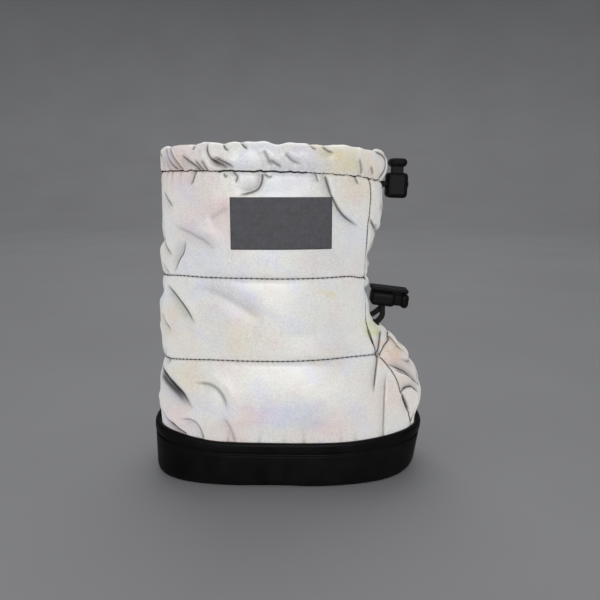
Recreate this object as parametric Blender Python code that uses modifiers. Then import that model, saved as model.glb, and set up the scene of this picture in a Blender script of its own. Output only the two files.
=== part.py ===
"""A child's puffer bootie: a quilted boot in a moulded cup sole, closed by two drawcords with cord locks.

Metres, +Z up. The toe points along +X and the sewn patch is on the -Y side. The origin is on the floor,
under the middle of the sole. Tables are in millimetres and are scaled where they are read.
"""

import math
from collections import namedtuple

import bmesh
import bpy
from mathutils import Matrix, Vector

MM = 0.001

# Sole
SOLE_LENGTH = 139.3 * MM
BALL_WIDTH = 81.0 * MM
HEEL_WIDTH = 79.0 * MM
TOE_LEAN = 3.2 * MM  # how far the toe wall leans out from the ground up to the rim
SIDE_LEAN = 2.0 * MM
RIM_HEIGHT = 23.5 * MM  # at the waist
RIM_HEEL_RISE = 3.7 * MM
RIM_TOE_RISE = 2.1 * MM
RIM_HEEL_FROM, RIM_HEEL_RUN = -30.0 * MM, 40.0 * MM  # where the rim starts to rise, and over what length
RIM_TOE_FROM, RIM_TOE_RUN = 22.0 * MM, 46.0 * MM
CUP_NOSE, CUP_TAIL = 2.65, 3.2  # how square the outline is at toe and heel
CUP_WALL = 2.6 * MM
FLOOR_THICKNESS = 5.2 * MM
FLOOR_RING = 1.0 * MM  # the lowest ring of the wall's inside, above the floor
TOE_SPRING = 2.2 * MM
HEEL_BEVEL = 0.6 * MM
ARCH_RISE = 1.4 * MM
ARCH_EDGE = 0.3  # share of the arch left at the edge of the tread
ARCH_BACK, ARCH_FRONT = -24.0 * MM, 10.0 * MM
TOE_SPRING_START = 44.0 * MM
HEEL_BEVEL_START = -60.0 * MM

# Upper
UPPER_TOP = 150.6 * MM  # amidships
UPPER_WALL = 3.0 * MM
UPPER_FOOT = FLOOR_THICKNESS + 0.3 * MM
SWELL_START = 22.0 * MM
SWELL_FULLNESS = 0.7  # under 1, a swollen row is fuller than a sine
LOWER_STITCH = 63.5 * MM
UPPER_STITCH = 102.5 * MM
COLLAR_SLOPE = 0.06  # the collar falls towards the front
COLLAR_CROWN = 0.4  # and off to both ends, per metre from the middle
HEEL_AT, BALL_AT = -38.0 * MM, 22.0 * MM  # where the heel and ball widths are measured
RIM_CLEAR = 0.6 * MM
RIM_BLEND = 11.0 * MM

# Insole
# Columns: inset, height above its underside
INSOLE_EDGE = ((0.5, 0.0), (0.0, 0.6), (0.0, 3.2), (0.9, 4.0))

# Fits
FIT_GAP = 0.35 * MM
CASING_GAP = 0.5 * MM

# Drawcord casing: how much narrower it is at the back, and wider at the front
CASING_BACK_LOSS, CASING_BACK_FROM, CASING_BACK_RUN = 0.2, -16.0 * MM, 46.0 * MM
CASING_FRONT_GAIN, CASING_FRONT_FROM, CASING_FRONT_RUN = 0.1, 10.0 * MM, 38.0 * MM
CASING_LEAN = 1.2 * MM  # it leans forward over the upper's top edge
CASING_LEAN_RUN = 6.0 * MM

# Sewn patch
PATCH_CENTRE_X, PATCH_CENTRE_Z = -2.7 * MM, 128.5 * MM
PATCH_LENGTH, PATCH_HEIGHT = 46.0 * MM, 23.6 * MM
PATCH_THICKNESS = 0.9 * MM
PATCH_COLUMNS, PATCH_ROWS = 12, 6

# Cord and cord locks. Along the lock's axis, from the closed end of its body
CORD_DIAMETER = 3.0 * MM
STRAND_SPREAD = 1.65 * MM  # half the distance between the two strands in a lock
EYELET_GAP = 0.8 * MM  # from the upper to the end of a strand
LOCK_WIDTH = 11.4 * MM
COLLAR_LOCK_DEPTH, COLLAR_CAP_DEPTH = 10.4 * MM, 8.6 * MM
ANKLE_LOCK_DEPTH = 7.4 * MM
LOCK_LENGTH = 12.5 * MM
LOCK_ROUNDING = 2.0 * MM
BORE_START = 1.2 * MM
BORE_WIDTH, BORE_DEPTH = 9.2 * MM, 5.8 * MM
CORD_AT = 6.8 * MM
CORD_CLEAR = 0.35 * MM
SLOT_CLEAR = 0.3 * MM
PLUNGER_TRAVEL = 2.5 * MM
PLUNGER_CLEAR = 0.3 * MM
CAP_LENGTH = 4.2 * MM
CORD_END_LENGTH, CORD_END_WIDTH, CORD_END_THICKNESS = 19.4 * MM, 9.4 * MM, 2.0 * MM
CORD_END_START = -0.7 * MM
CORD_END_ROUNDING = 0.8 * MM

# Where the two locks sit: the closed end of each body
COLLAR_LOCK_AT = Vector((54.1, 0.0, 139.0)) * MM
ANKLE_LOCK_AT = Vector((42.6, 0.0, 88.5)) * MM
COLLAR_LOCK_LEAN = math.radians(2.0)
ANKLE_LOCK_DROOP = math.radians(7.0)
ANKLE_LOCK_ROLL = math.radians(2.0)

COLLAR_EYELET_HEIGHT = 149.3 * MM
COLLAR_EYELET_SPREAD = 1.8 * MM  # half the distance between two eyelets
COLLAR_STRAND_LEAD, COLLAR_STRAND_TAIL = 0.6 * MM, 0.5 * MM  # how far a strand shows beside its lock
ANKLE_EYELET_SPREAD = 3.2 * MM
ANKLE_STRAND_FAN = 1.2  # how much wider the strands are below their lock than in it
ANKLE_STRAND_LEAD, ANKLE_STRAND_SEAT = 1.8 * MM, 0.6 * MM
# The ankle's strands leave the upper one above the other. Columns: side, name, height, reach
ANKLE_STRANDS = ((-1, "near", 75.0, 3.6), (1, "far", 77.6, 1.2))

# Faceting
SIDES = 48
CASING_SIDES = 80
CASING_GATHERS = 20
CASING_GATHER_DEPTH = 0.55 * MM
CORD_SAMPLES = 13
ROUTE_STEPS = 12
NEAR_TURN, NEAR_HEIGHT = 0.002, 0.5 * MM  # steps for finding slopes
SHARP_EDGE = math.radians(40.0)
TREAD_RINGS = (0.15, 0.4, 0.62, 0.82)  # shares of the tread's outline

Section = namedtuple("Section", "back front heel_half ball_half nose tail")

# Upper above the rim, at the sewn lines, before the filling swells it.
# Columns: height, back, front, heel_half, ball_half, nose, tail
UPPER_SECTIONS = (
    (30.0, -66.5, 67.2, 36.8, 37.8, 2.5, 3.0),
    (36.0, -65.9, 67.5, 36.6, 37.8, 2.5, 3.0),
    (45.0, -65.6, 66.8, 36.2, 37.4, 2.4, 2.9),
    (52.0, -65.2, 64.6, 35.8, 37.0, 2.3, 2.8),
    (63.5, -64.2, 57.6, 35.4, 36.2, 2.1, 2.7),
    (69.0, -64.5, 52.4, 35.4, 35.8, 2.0, 2.7),
    (75.5, -64.3, 43.7, 35.4, 35.4, 2.0, 2.6),
    (79.0, -64.4, 41.3, 35.4, 35.4, 2.1, 2.6),
    (85.0, -64.4, 40.3, 35.4, 35.4, 2.2, 2.6),
    (102.5, -63.6, 39.9, 35.2, 35.2, 2.3, 2.5),
    (112.0, -64.0, 40.7, 35.2, 35.2, 2.3, 2.5),
    (122.0, -62.5, 43.4, 35.4, 35.4, 2.3, 2.5),
    (135.0, -62.0, 45.9, 35.5, 35.5, 2.3, 2.5),
    (150.6, -62.3, 46.8, 35.6, 35.6, 2.3, 2.5),
)

# Rows of the upper's surface. Columns: from, to, steps, swell
UPPER_BANDS = (
    (UPPER_FOOT / MM, SWELL_START / MM, 2, 0.0),
    (SWELL_START / MM, LOWER_STITCH / MM, 8, 2.2),
    (LOWER_STITCH / MM, UPPER_STITCH / MM, 9, 1.5),
    (UPPER_STITCH / MM, UPPER_TOP / MM, 6, 0.8),
)

# Section of the drawcord casing. Columns: out from the upper, up from its top edge
CASING_PROFILE = (
    (0.1, 0.0),
    (1.0, 2.6),
    (1.4, 6.0),
    (1.0, 9.7),
    (-0.4, 12.3),
    (-2.6, 13.2),
    (-4.6, 11.8),
    (-5.4, 8.6),
    (-5.2, 4.3),
    (-3.4, 0.0),
)

# Side wall of the cup from the ground to the groove. Columns: inset, height
CUP_FOOT = ((2.6, 0.0), (1.2, 0.5), (0.4, 1.6), (0.0, 3.6))
# Bead at the top of the cup wall. Columns: inset, height below the rim
CUP_BEAD = ((0.0, 6.6), (0.7, 6.0), (0.7, 5.3), (0.0, 4.7), (0.0, 1.0), (0.7, 0.0), (1.9, 0.0), (2.6, 0.9))


def smooth_step(share):
    share = min(max(share, 0.0), 1.0)
    return share * share * (3.0 - 2.0 * share)


def read_table(rows, at):
    """The columns after the first, at a value of the first, on a smooth curve through the rows."""
    if at <= rows[0][0]:
        return rows[0][1:]
    if at >= rows[-1][0]:
        return rows[-1][1:]
    last = len(rows) - 1
    i = max(k for k in range(last) if rows[k][0] <= at)
    low, high = rows[i], rows[i + 1]
    before, after = rows[max(i - 1, 0)], rows[min(i + 2, last)]
    step = high[0] - low[0]
    t = (at - low[0]) / step
    values = []
    for k in range(1, len(low)):
        slope_low = (high[k] - before[k]) / (high[0] - before[0]) * step
        slope_high = (after[k] - low[k]) / (after[0] - low[0]) * step
        values.append(
            (2 * t**3 - 3 * t**2 + 1) * low[k]
            + (t**3 - 2 * t**2 + t) * slope_low
            + (3 * t**2 - 2 * t**3) * high[k]
            + (t**3 - t**2) * slope_high
        )
    return tuple(values)


def outline_xy(section, turn):
    """A section's outline in plan. The turn runs once round from the front, anticlockwise from above."""
    angle = 2.0 * math.pi * turn
    along, across = math.cos(angle), math.sin(angle)
    middle = (section.back + section.front) / 2.0
    if along >= 0:
        reach, power = section.front - middle, section.nose
    else:
        reach, power = middle - section.back, section.tail
    x = middle + math.copysign(reach * abs(along) ** (2.0 / power), along)
    width = smooth_step((x - HEEL_AT) / (BALL_AT - HEEL_AT))
    half = section.heel_half + (section.ball_half - section.heel_half) * width
    return Vector((x, math.copysign(half * abs(across) ** (2.0 / power), across)))


def outline_point(section, turn, inset=0.0):
    """A point of the outline, moved in along the outline's own normal."""
    tangent = outline_xy(section, turn + NEAR_TURN) - outline_xy(section, turn - NEAR_TURN)
    outward = Vector((tangent.y, -tangent.x)).normalized()
    return outline_xy(section, turn) - outward * inset


def cup_section(height):
    """The outside of the sole's wall at a height, before the edges are rounded."""
    lean = max(1.0 - height / RIM_HEIGHT, 0.0)
    half_length = SOLE_LENGTH / 2.0
    return Section(
        -half_length,
        half_length - TOE_LEAN * lean,
        HEEL_WIDTH / 2.0 - SIDE_LEAN * lean,
        BALL_WIDTH / 2.0 - SIDE_LEAN * lean,
        CUP_NOSE,
        CUP_TAIL,
    )


def rim_height(x):
    """The cup's rim dips at the waist and rises at heel and toe."""
    toe = smooth_step((x - RIM_TOE_FROM) / RIM_TOE_RUN)
    heel = smooth_step((RIM_HEEL_FROM - x) / RIM_HEEL_RUN)
    return RIM_HEIGHT + RIM_TOE_RISE * toe + RIM_HEEL_RISE * heel


def ground_height(x, arch_share=ARCH_EDGE):
    """The underside: flat under heel and forefoot, with an arch, a toe spring and a bevelled heel."""
    arch = math.sin(math.pi * min(max((x - ARCH_BACK) / (ARCH_FRONT - ARCH_BACK), 0.0), 1.0))
    toe = max((x - TOE_SPRING_START) / (SOLE_LENGTH / 2 - TOE_SPRING_START), 0.0)
    heel = max((HEEL_BEVEL_START - x) / (SOLE_LENGTH / 2 + HEEL_BEVEL_START), 0.0)
    return ARCH_RISE * arch * arch_share + TOE_SPRING * toe**2 + HEEL_BEVEL * heel**2


def swell(height):
    """How far the filling swells the upper between two sewn lines."""
    for low, high, _, depth in UPPER_BANDS:
        if low * MM <= height <= high * MM:
            share = (height / MM - low) / (high - low)
            return depth * MM * math.sin(math.pi * share) ** SWELL_FULLNESS
    return 0.0


def collar_drop(height, x):
    """The rows of the upper tilt forward and crown from the upper stitch line to the collar."""
    share = smooth_step((height - UPPER_STITCH) / (UPPER_TOP - UPPER_STITCH))
    return share * (COLLAR_SLOPE * x + COLLAR_CROWN * x**2)


def row_height(x, z):
    """The row of the upper that passes through a place seen from the side."""
    height = z
    for _ in range(4):
        height = z + collar_drop(height, x)
    return height


def upper_point(turn, height):
    """The outside of the upper: inside the cup's wall below the rim, swelling out over it above."""
    inside = outline_point(cup_section(height), turn, CUP_WALL + FIT_GAP)
    back, front, heel_half, ball_half, nose, tail = read_table(UPPER_SECTIONS, height / MM)
    section = Section(back * MM, front * MM, heel_half * MM, ball_half * MM, nose, tail)
    free = outline_point(section, turn, -swell(height))
    share = smooth_step((height - rim_height(inside.x) - RIM_CLEAR) / RIM_BLEND)
    plan = inside.lerp(free, share)
    return Vector((plan.x, plan.y, height - collar_drop(height, plan.x)))


def upper_normal(turn, height):
    around = upper_point(turn + NEAR_TURN, height) - upper_point(turn - NEAR_TURN, height)
    up = upper_point(turn, height + NEAR_HEIGHT) - upper_point(turn, height - NEAR_HEIGHT)
    return around.cross(up).normalized()


def solve_turn(low, high, value_at, wanted):
    """The turn between two where a value that rises with the turn is the one wanted."""
    for _ in range(40):
        middle = (low + high) / 2.0
        low, high = (middle, high) if value_at(middle) < wanted else (low, middle)
    return (low + high) / 2.0


def start_scene():
    for obj in list(bpy.data.objects):
        bpy.data.objects.remove(obj)
    for name in ("puffer_bootie", "cutters"):
        bpy.context.scene.collection.children.link(bpy.data.collections.new(name))


def material(name, colour, roughness, metallic=0.0):
    made = bpy.data.materials.new(name)
    made.use_nodes = True
    shader = made.node_tree.nodes["Principled BSDF"]
    shader.inputs["Base Color"].default_value = (*colour, 1.0)
    shader.inputs["Roughness"].default_value = roughness
    shader.inputs["Metallic"].default_value = metallic
    return made


def add_object(name, data, finish, collection="puffer_bootie"):
    obj = bpy.data.objects.new(name, data)
    bpy.data.collections[collection].objects.link(obj)
    if finish:
        data.materials.append(finish)
    return obj


def ring_faces(mesh, first, second):
    """Quads between two closed rings of vertices, each ring running anticlockwise from above."""
    count = len(first)
    for i in range(count):
        j = (i + 1) % count
        mesh.faces.new((first[i], first[j], second[j], second[i]))


def mesh_of(name, built):
    bmesh.ops.recalc_face_normals(built, faces=built.faces)
    data = bpy.data.meshes.new(name)
    built.to_mesh(data)
    built.free()
    data.shade_smooth()
    data.set_sharp_from_angle(angle=SHARP_EDGE)
    return data


def add_rings(built, rings):
    made = [[built.verts.new(point) for point in ring] for ring in rings]
    for first, second in zip(made, made[1:]):
        ring_faces(built, first, second)
    return made


def turns(count):
    return [i / count for i in range(count)]


def make_upper(finish):
    """The quilted shell: one open surface from the cup's floor to the casing, given its real wall."""
    heights = [UPPER_BANDS[0][0] * MM]
    for low, high, steps, _ in UPPER_BANDS:
        heights += [(low + (high - low) * (k + 1) / steps) * MM for k in range(steps)]
    built = bmesh.new()
    add_rings(built, [[upper_point(t, h) for t in turns(SIDES)] for h in heights])
    upper = add_object("upper", mesh_of("upper", built), finish)
    wall = upper.modifiers.new("wall", "SOLIDIFY")
    wall.thickness = UPPER_WALL
    wall.offset = -1.0


def casing_rise(x):
    """The casing is narrower at the back than at the front."""
    back = smooth_step((CASING_BACK_FROM - x) / CASING_BACK_RUN)
    front = smooth_step((x - CASING_FRONT_FROM) / CASING_FRONT_RUN)
    return 1.0 - CASING_BACK_LOSS * back + CASING_FRONT_GAIN * front


def make_casing(finish):
    """The gathered drawcord casing that finishes the collar."""
    rings = []
    for out, up in CASING_PROFILE:
        ring = []
        for t in turns(CASING_SIDES):
            gather = math.sin(2.0 * math.pi * CASING_GATHERS * t) * smooth_step(up * MM / CASING_LEAN_RUN)
            start = upper_point(t, UPPER_TOP)
            rise = up * MM * casing_rise(start.x)
            outward = upper_normal(t, UPPER_TOP)
            outward.z = 0.0
            push = out * MM + gather * CASING_GATHER_DEPTH
            lean = CASING_LEAN * smooth_step(up * MM / CASING_LEAN_RUN)
            ring.append(start + outward.normalized() * push + Vector((lean, 0, CASING_GAP + rise)))
        rings.append(ring)
    built = bmesh.new()
    made = add_rings(built, rings)
    ring_faces(built, made[-1], made[0])
    add_object("collar_casing", mesh_of("collar_casing", built), finish)


def make_outsole(finish):
    """The moulded cup: tread face, rounded foot, beaded wall and floor, as one shell of rings."""
    rings = []
    for share in TREAD_RINGS:
        arch_share = 1.0 - (1.0 - ARCH_EDGE) * share**3
        plan = [outline_point(cup_section(0.0), t, CUP_FOOT[0][0] * MM) * share for t in turns(SIDES)]
        rings.append([Vector((p.x, p.y, ground_height(p.x, arch_share))) for p in plan])
    for inset, height in CUP_FOOT:
        plan = [outline_point(cup_section(height * MM), t, inset * MM) for t in turns(SIDES)]
        rings.append([Vector((p.x, p.y, height * MM + ground_height(p.x))) for p in plan])
    for inset, below in CUP_BEAD:
        ring = []
        for t in turns(SIDES):
            rim = rim_height(outline_point(cup_section(RIM_HEIGHT), t).x)
            height = rim - below * MM
            p = outline_point(cup_section(height), t, inset * MM)
            ring.append(Vector((p.x, p.y, height)))
        rings.append(ring)
    for inset, height in ((CUP_WALL, FLOOR_THICKNESS + FLOOR_RING), (CUP_WALL, FLOOR_THICKNESS)):
        plan = [outline_point(cup_section(height), t, inset) for t in turns(SIDES)]
        rings.append([Vector((p.x, p.y, height)) for p in plan])
    built = bmesh.new()
    made = add_rings(built, rings)
    built.faces.new(made[0][::-1])
    built.faces.new(made[-1])
    add_object("outsole", mesh_of("outsole", built), finish)


def make_insole(finish):
    """The footbed, a loose plate inside the foot of the upper."""
    low = FLOOR_THICKNESS + FIT_GAP
    edge = CUP_WALL + UPPER_WALL + 2.0 * FIT_GAP
    rings = []
    for inset, up in INSOLE_EDGE:
        height = low + up * MM
        plan = [outline_point(cup_section(height), t, edge + inset * MM) for t in turns(SIDES)]
        rings.append([Vector((p.x, p.y, height)) for p in plan])
    built = bmesh.new()
    made = add_rings(built, rings)
    built.faces.new(made[0][::-1])
    built.faces.new(made[-1])
    add_object("insole", mesh_of("insole", built), finish)


def make_patch(finish):
    """The sewn patch, cut from the upper's own surface on the -Y side."""
    built = bmesh.new()
    grid = []
    for r in range(PATCH_ROWS + 1):
        z = PATCH_CENTRE_Z + PATCH_HEIGHT * (r / PATCH_ROWS - 0.5)
        line = []
        for c in range(PATCH_COLUMNS + 1):
            x = PATCH_CENTRE_X + PATCH_LENGTH * (c / PATCH_COLUMNS - 0.5)
            height = row_height(x, z)
            turn = solve_turn(0.5, 1.0, lambda t: upper_point(t, height).x, x)
            line.append(built.verts.new(upper_point(turn, height) + upper_normal(turn, height) * FIT_GAP))
        grid.append(line)
    for r in range(PATCH_ROWS):
        for c in range(PATCH_COLUMNS):
            built.faces.new((grid[r][c], grid[r][c + 1], grid[r + 1][c + 1], grid[r + 1][c]))
    data = bpy.data.meshes.new("side_patch")
    built.to_mesh(data)
    built.free()
    patch = add_object("side_patch", data, finish)
    thick = patch.modifiers.new("thickness", "SOLIDIFY")
    thick.thickness = PATCH_THICKNESS
    thick.offset = 1.0


def add_block(name, low, high, finish=None, collection="puffer_bootie"):
    """A box between two corners, in its parent's frame."""
    low, high = Vector(low), Vector(high)
    size = high - low
    built = bmesh.new()
    bmesh.ops.create_cube(built, size=1.0)
    bmesh.ops.scale(built, vec=size, verts=built.verts)
    bmesh.ops.translate(built, vec=(low + high) / 2.0, verts=built.verts)
    data = bpy.data.meshes.new(name)
    built.to_mesh(data)
    built.free()
    obj = add_object(name, data, finish, collection)
    if collection == "cutters":
        obj.hide_render = True
        obj.display_type = "WIRE"
    return obj


def round_edges(obj, width):
    bevel = obj.modifiers.new("rounding", "BEVEL")
    bevel.width = width
    bevel.segments = 3
    bevel.limit_method = "NONE"


def combine(obj, other, operation):
    step = obj.modifiers.new(other.name, "BOOLEAN")
    step.operation = operation
    step.object = other


def lock_frame(name, at, axis, cord_way):
    """An empty at the closed end of a lock: X along the plunger, Z along the cord."""
    x = axis.normalized()
    z = (cord_way - x * cord_way.dot(x)).normalized()
    y = z.cross(x)
    frame = bpy.data.objects.new(name, None)
    frame.matrix_world = Matrix.Translation(at) @ Matrix((x, y, z)).transposed().to_4x4()
    bpy.data.collections["puffer_bootie"].objects.link(frame)
    return frame


def make_lock(name, frame, depth, cap_depth, finish):
    """A cord lock: a bored body crossed by the cord's slot, and a slotted plunger that slides in it."""
    half_w, half_d, half_cap = LOCK_WIDTH / 2.0, depth / 2.0, cap_depth / 2.0
    bore_w, bore_d = BORE_WIDTH / 2.0, BORE_DEPTH / 2.0
    slot_w = STRAND_SPREAD + CORD_DIAMETER / 2.0 + SLOT_CLEAR
    cord_low, cord_high = CORD_AT - CORD_DIAMETER / 2.0, CORD_AT + CORD_DIAMETER / 2.0
    through = depth

    body = add_block(name + "_lock_body", (0, -half_w, -half_d), (LOCK_LENGTH, half_w, half_d), finish)
    round_edges(body, LOCK_ROUNDING)
    bore = add_block(
        name + "_bore",
        (BORE_START, -bore_w, -bore_d),
        (LOCK_LENGTH + BORE_START, bore_w, bore_d),
        None,
        "cutters",
    )
    slot = add_block(
        name + "_body_slot",
        (cord_low - CORD_CLEAR, -slot_w, -through),
        (cord_high + CORD_CLEAR, slot_w, through),
        None,
        "cutters",
    )
    combine(body, bore, "DIFFERENCE")
    combine(body, slot, "DIFFERENCE")

    stem_w, stem_d = bore_w - PLUNGER_CLEAR, bore_d - PLUNGER_CLEAR
    stem_start = BORE_START + PLUNGER_TRAVEL + PLUNGER_CLEAR
    cap_start = LOCK_LENGTH + PLUNGER_TRAVEL + PLUNGER_CLEAR
    cap_end = cap_start + CAP_LENGTH
    plunger = add_block(
        name + "_lock_plunger", (cap_start, -half_w, -half_cap), (cap_end, half_w, half_cap), finish
    )
    round_edges(plunger, LOCK_ROUNDING)
    stem = add_block(
        name + "_stem",
        (stem_start, -stem_w, -stem_d),
        (cap_end - LOCK_ROUNDING, stem_w, stem_d),
        None,
        "cutters",
    )
    grip = add_block(
        name + "_plunger_slot",
        (cord_low - PLUNGER_CLEAR, -slot_w, -through),
        (cord_high + PLUNGER_TRAVEL + PLUNGER_CLEAR, slot_w, through),
        None,
        "cutters",
    )
    combine(plunger, stem, "UNION")
    combine(plunger, grip, "DIFFERENCE")
    for obj in (body, bore, slot, plunger, stem, grip):
        obj.parent = frame


def smooth_route(points, count):
    """Evenly spread samples of a smooth curve through a route's points."""
    fine = []
    last = len(points) - 1
    for i in range(last):
        a, b = points[max(i - 1, 0)], points[i]
        c, d = points[i + 1], points[min(i + 2, last)]
        for k in range(ROUTE_STEPS):
            t = k / ROUTE_STEPS
            fine.append(
                0.5
                * (2 * b + (c - a) * t + (2 * a - 5 * b + 4 * c - d) * t**2 + (3 * b - a - 3 * c + d) * t**3)
            )
    fine.append(points[-1])
    walked = [0.0]
    for first, second in zip(fine, fine[1:]):
        walked.append(walked[-1] + (second - first).length)
    samples = []
    for k in range(count):
        wanted = walked[-1] * k / (count - 1)
        i = min(max(j for j, w in enumerate(walked) if w <= wanted + 1e-12), len(fine) - 2)
        share = (wanted - walked[i]) / (walked[i + 1] - walked[i])
        samples.append(fine[i].lerp(fine[i + 1], share))
    return samples


def make_cord(name, points, finish):
    curve = bpy.data.curves.new(name, "CURVE")
    curve.dimensions = "3D"
    curve.bevel_depth = CORD_DIAMETER / 2.0
    curve.bevel_resolution = 2
    curve.use_fill_caps = True
    samples = smooth_route(points, CORD_SAMPLES)
    spline = curve.splines.new("POLY")
    spline.points.add(len(samples) - 1)
    for point, place in zip(spline.points, samples):
        point.co = (*place, 1.0)
    add_object(name, curve, finish)


def eyelet(height, y):
    """Where a strand leaves the front of the upper, and the way it points there."""
    turn = solve_turn(-0.2, 0.2, lambda t: upper_point(t, height).y, y)
    outward = upper_normal(turn, height)
    return upper_point(turn, height) + outward * EYELET_GAP, outward


def make_collar_fastener(cord_finish, lock_finish):
    """The lock stands against the front of the collar, plunger up, and the strands run straight into it."""
    axis = Vector((math.sin(COLLAR_LOCK_LEAN), 0, math.cos(COLLAR_LOCK_LEAN)))
    frame = lock_frame("collar_lock_frame", COLLAR_LOCK_AT, axis, Vector((1, 0, 0)))
    make_lock("collar", frame, COLLAR_LOCK_DEPTH, COLLAR_CAP_DEPTH, lock_finish)
    place = frame.matrix_world
    face = COLLAR_LOCK_DEPTH / 2.0
    for side, name in ((-1, "near"), (1, "far")):
        in_lock = side * STRAND_SPREAD * (place.to_3x3() @ Vector((0, 1, 0))).y
        start, _ = eyelet(COLLAR_EYELET_HEIGHT, side * COLLAR_EYELET_SPREAD)
        points = [
            start,
            place @ Vector((CORD_AT, in_lock, -face - COLLAR_STRAND_LEAD)),
            place @ Vector((CORD_AT, in_lock, 0.0)),
            place @ Vector((CORD_AT, in_lock, face + COLLAR_STRAND_TAIL)),
        ]
        make_cord(f"collar_drawcord_{name}", points, cord_finish)


def make_ankle_fastener(cord_finish, lock_finish):
    """The lock points forward over the instep, with the cord's moulded end lying on it."""
    axis = Vector((math.cos(ANKLE_LOCK_DROOP), 0, -math.sin(ANKLE_LOCK_DROOP)))
    cord_way = Vector((0, -math.sin(ANKLE_LOCK_ROLL), math.cos(ANKLE_LOCK_ROLL)))
    frame = lock_frame("ankle_lock_frame", ANKLE_LOCK_AT, axis, cord_way)
    make_lock("ankle", frame, ANKLE_LOCK_DEPTH, ANKLE_LOCK_DEPTH, lock_finish)
    place = frame.matrix_world
    top = ANKLE_LOCK_DEPTH / 2.0
    for side, name, height, reach in ANKLE_STRANDS:
        start, outward = eyelet(height * MM, side * ANKLE_EYELET_SPREAD)
        in_lock = side * STRAND_SPREAD
        points = [
            start,
            start + outward * reach * MM,
            place @ Vector((CORD_AT, in_lock * ANKLE_STRAND_FAN, -top - ANKLE_STRAND_LEAD)),
            place @ Vector((CORD_AT, in_lock, -top + ANKLE_STRAND_SEAT)),
            place @ Vector((CORD_AT, in_lock, 0.0)),
            place @ Vector((CORD_AT, in_lock, top)),
        ]
        make_cord(f"ankle_drawcord_{name}", points, cord_finish)
    low = Vector((CORD_END_START, -CORD_END_WIDTH / 2.0, top + FIT_GAP))
    high = low + Vector((CORD_END_LENGTH, CORD_END_WIDTH, CORD_END_THICKNESS))
    cord_end = add_block("ankle_cord_end", low, high, lock_finish)
    round_edges(cord_end, CORD_END_ROUNDING)
    cord_end.parent = frame


def main():
    start_scene()
    silver = material("silver_fabric", (0.78, 0.77, 0.75), 0.55, 0.25)
    rubber = material("black_rubber", (0.012, 0.012, 0.013), 0.6)
    lining = material("fleece", (0.05, 0.05, 0.055), 0.95)
    woven = material("grey_woven", (0.10, 0.10, 0.105), 0.8)
    plastic = material("black_plastic", (0.010, 0.010, 0.010), 0.4)
    elastic = material("black_elastic", (0.012, 0.012, 0.012), 0.85)
    make_outsole(rubber)
    make_upper(silver)
    make_casing(silver)
    make_insole(lining)
    make_patch(woven)
    make_collar_fastener(elastic, plastic)
    make_ankle_fastener(elastic, plastic)


main()
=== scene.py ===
"""The looks of a child's puffer bootie: quilted silver fabric, gathered collar, cup sole and two cord locks.

Metres, +Z up, in the part's own frame: the toe points along +X and the patch is on the -Y side.
Tables are in millimetres and are scaled where they are read.
"""

import math
from collections import namedtuple

import bpy
import numpy as np
from mathutils import Matrix, Vector, noise
from mathutils.bvhtree import BVHTree


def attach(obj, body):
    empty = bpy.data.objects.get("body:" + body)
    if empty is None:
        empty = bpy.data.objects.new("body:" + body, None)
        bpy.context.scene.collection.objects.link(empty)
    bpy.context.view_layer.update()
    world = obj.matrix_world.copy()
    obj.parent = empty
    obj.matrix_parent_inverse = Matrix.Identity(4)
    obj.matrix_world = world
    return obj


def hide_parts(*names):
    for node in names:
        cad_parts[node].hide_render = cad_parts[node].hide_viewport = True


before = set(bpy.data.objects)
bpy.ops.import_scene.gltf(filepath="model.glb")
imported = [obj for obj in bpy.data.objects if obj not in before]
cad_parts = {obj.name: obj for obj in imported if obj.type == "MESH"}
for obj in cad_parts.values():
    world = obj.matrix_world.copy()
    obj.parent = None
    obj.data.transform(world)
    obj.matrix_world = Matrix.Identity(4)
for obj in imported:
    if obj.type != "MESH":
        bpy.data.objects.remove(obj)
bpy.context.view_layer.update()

MM = 0.001
UP = np.array((0.0, 0.0, 1.0))

# Sole
SOLE_LENGTH = 139.3 * MM
BALL_WIDTH = 81.0 * MM
HEEL_WIDTH = 79.0 * MM
TOE_LEAN = 3.2 * MM
SIDE_LEAN = 2.0 * MM
RIM_HEIGHT = 23.5 * MM
RIM_HEEL_RISE = 3.7 * MM
RIM_TOE_RISE = 2.1 * MM
RIM_HEEL_FROM, RIM_HEEL_RUN = -30.0 * MM, 40.0 * MM
RIM_TOE_FROM, RIM_TOE_RUN = 22.0 * MM, 46.0 * MM
CUP_NOSE, CUP_TAIL = 2.65, 3.2
CUP_WALL = 2.6 * MM
FLOOR_THICKNESS = 5.2 * MM
TOE_SPRING = 2.2 * MM
HEEL_BEVEL = 0.6 * MM
ARCH_RISE = 1.4 * MM
ARCH_EDGE = 0.3
ARCH_BACK, ARCH_FRONT = -24.0 * MM, 10.0 * MM
TOE_SPRING_START = 44.0 * MM
HEEL_BEVEL_START = -60.0 * MM

# Tread: six-sided lugs under the sole, clear of its rounded edge
TREAD_DEPTH = 0.9 * MM
TREAD_PITCH = 6.4 * MM
TREAD_EDGE = 7.5 * MM
TREAD_EDGE_STEPS = 400
LUG_RADIUS = 2.8 * MM
LUG_TIP = 0.86
LUG_ROOT = 0.2 * MM
LUG_ROWS = range(-14, 15)

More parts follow.
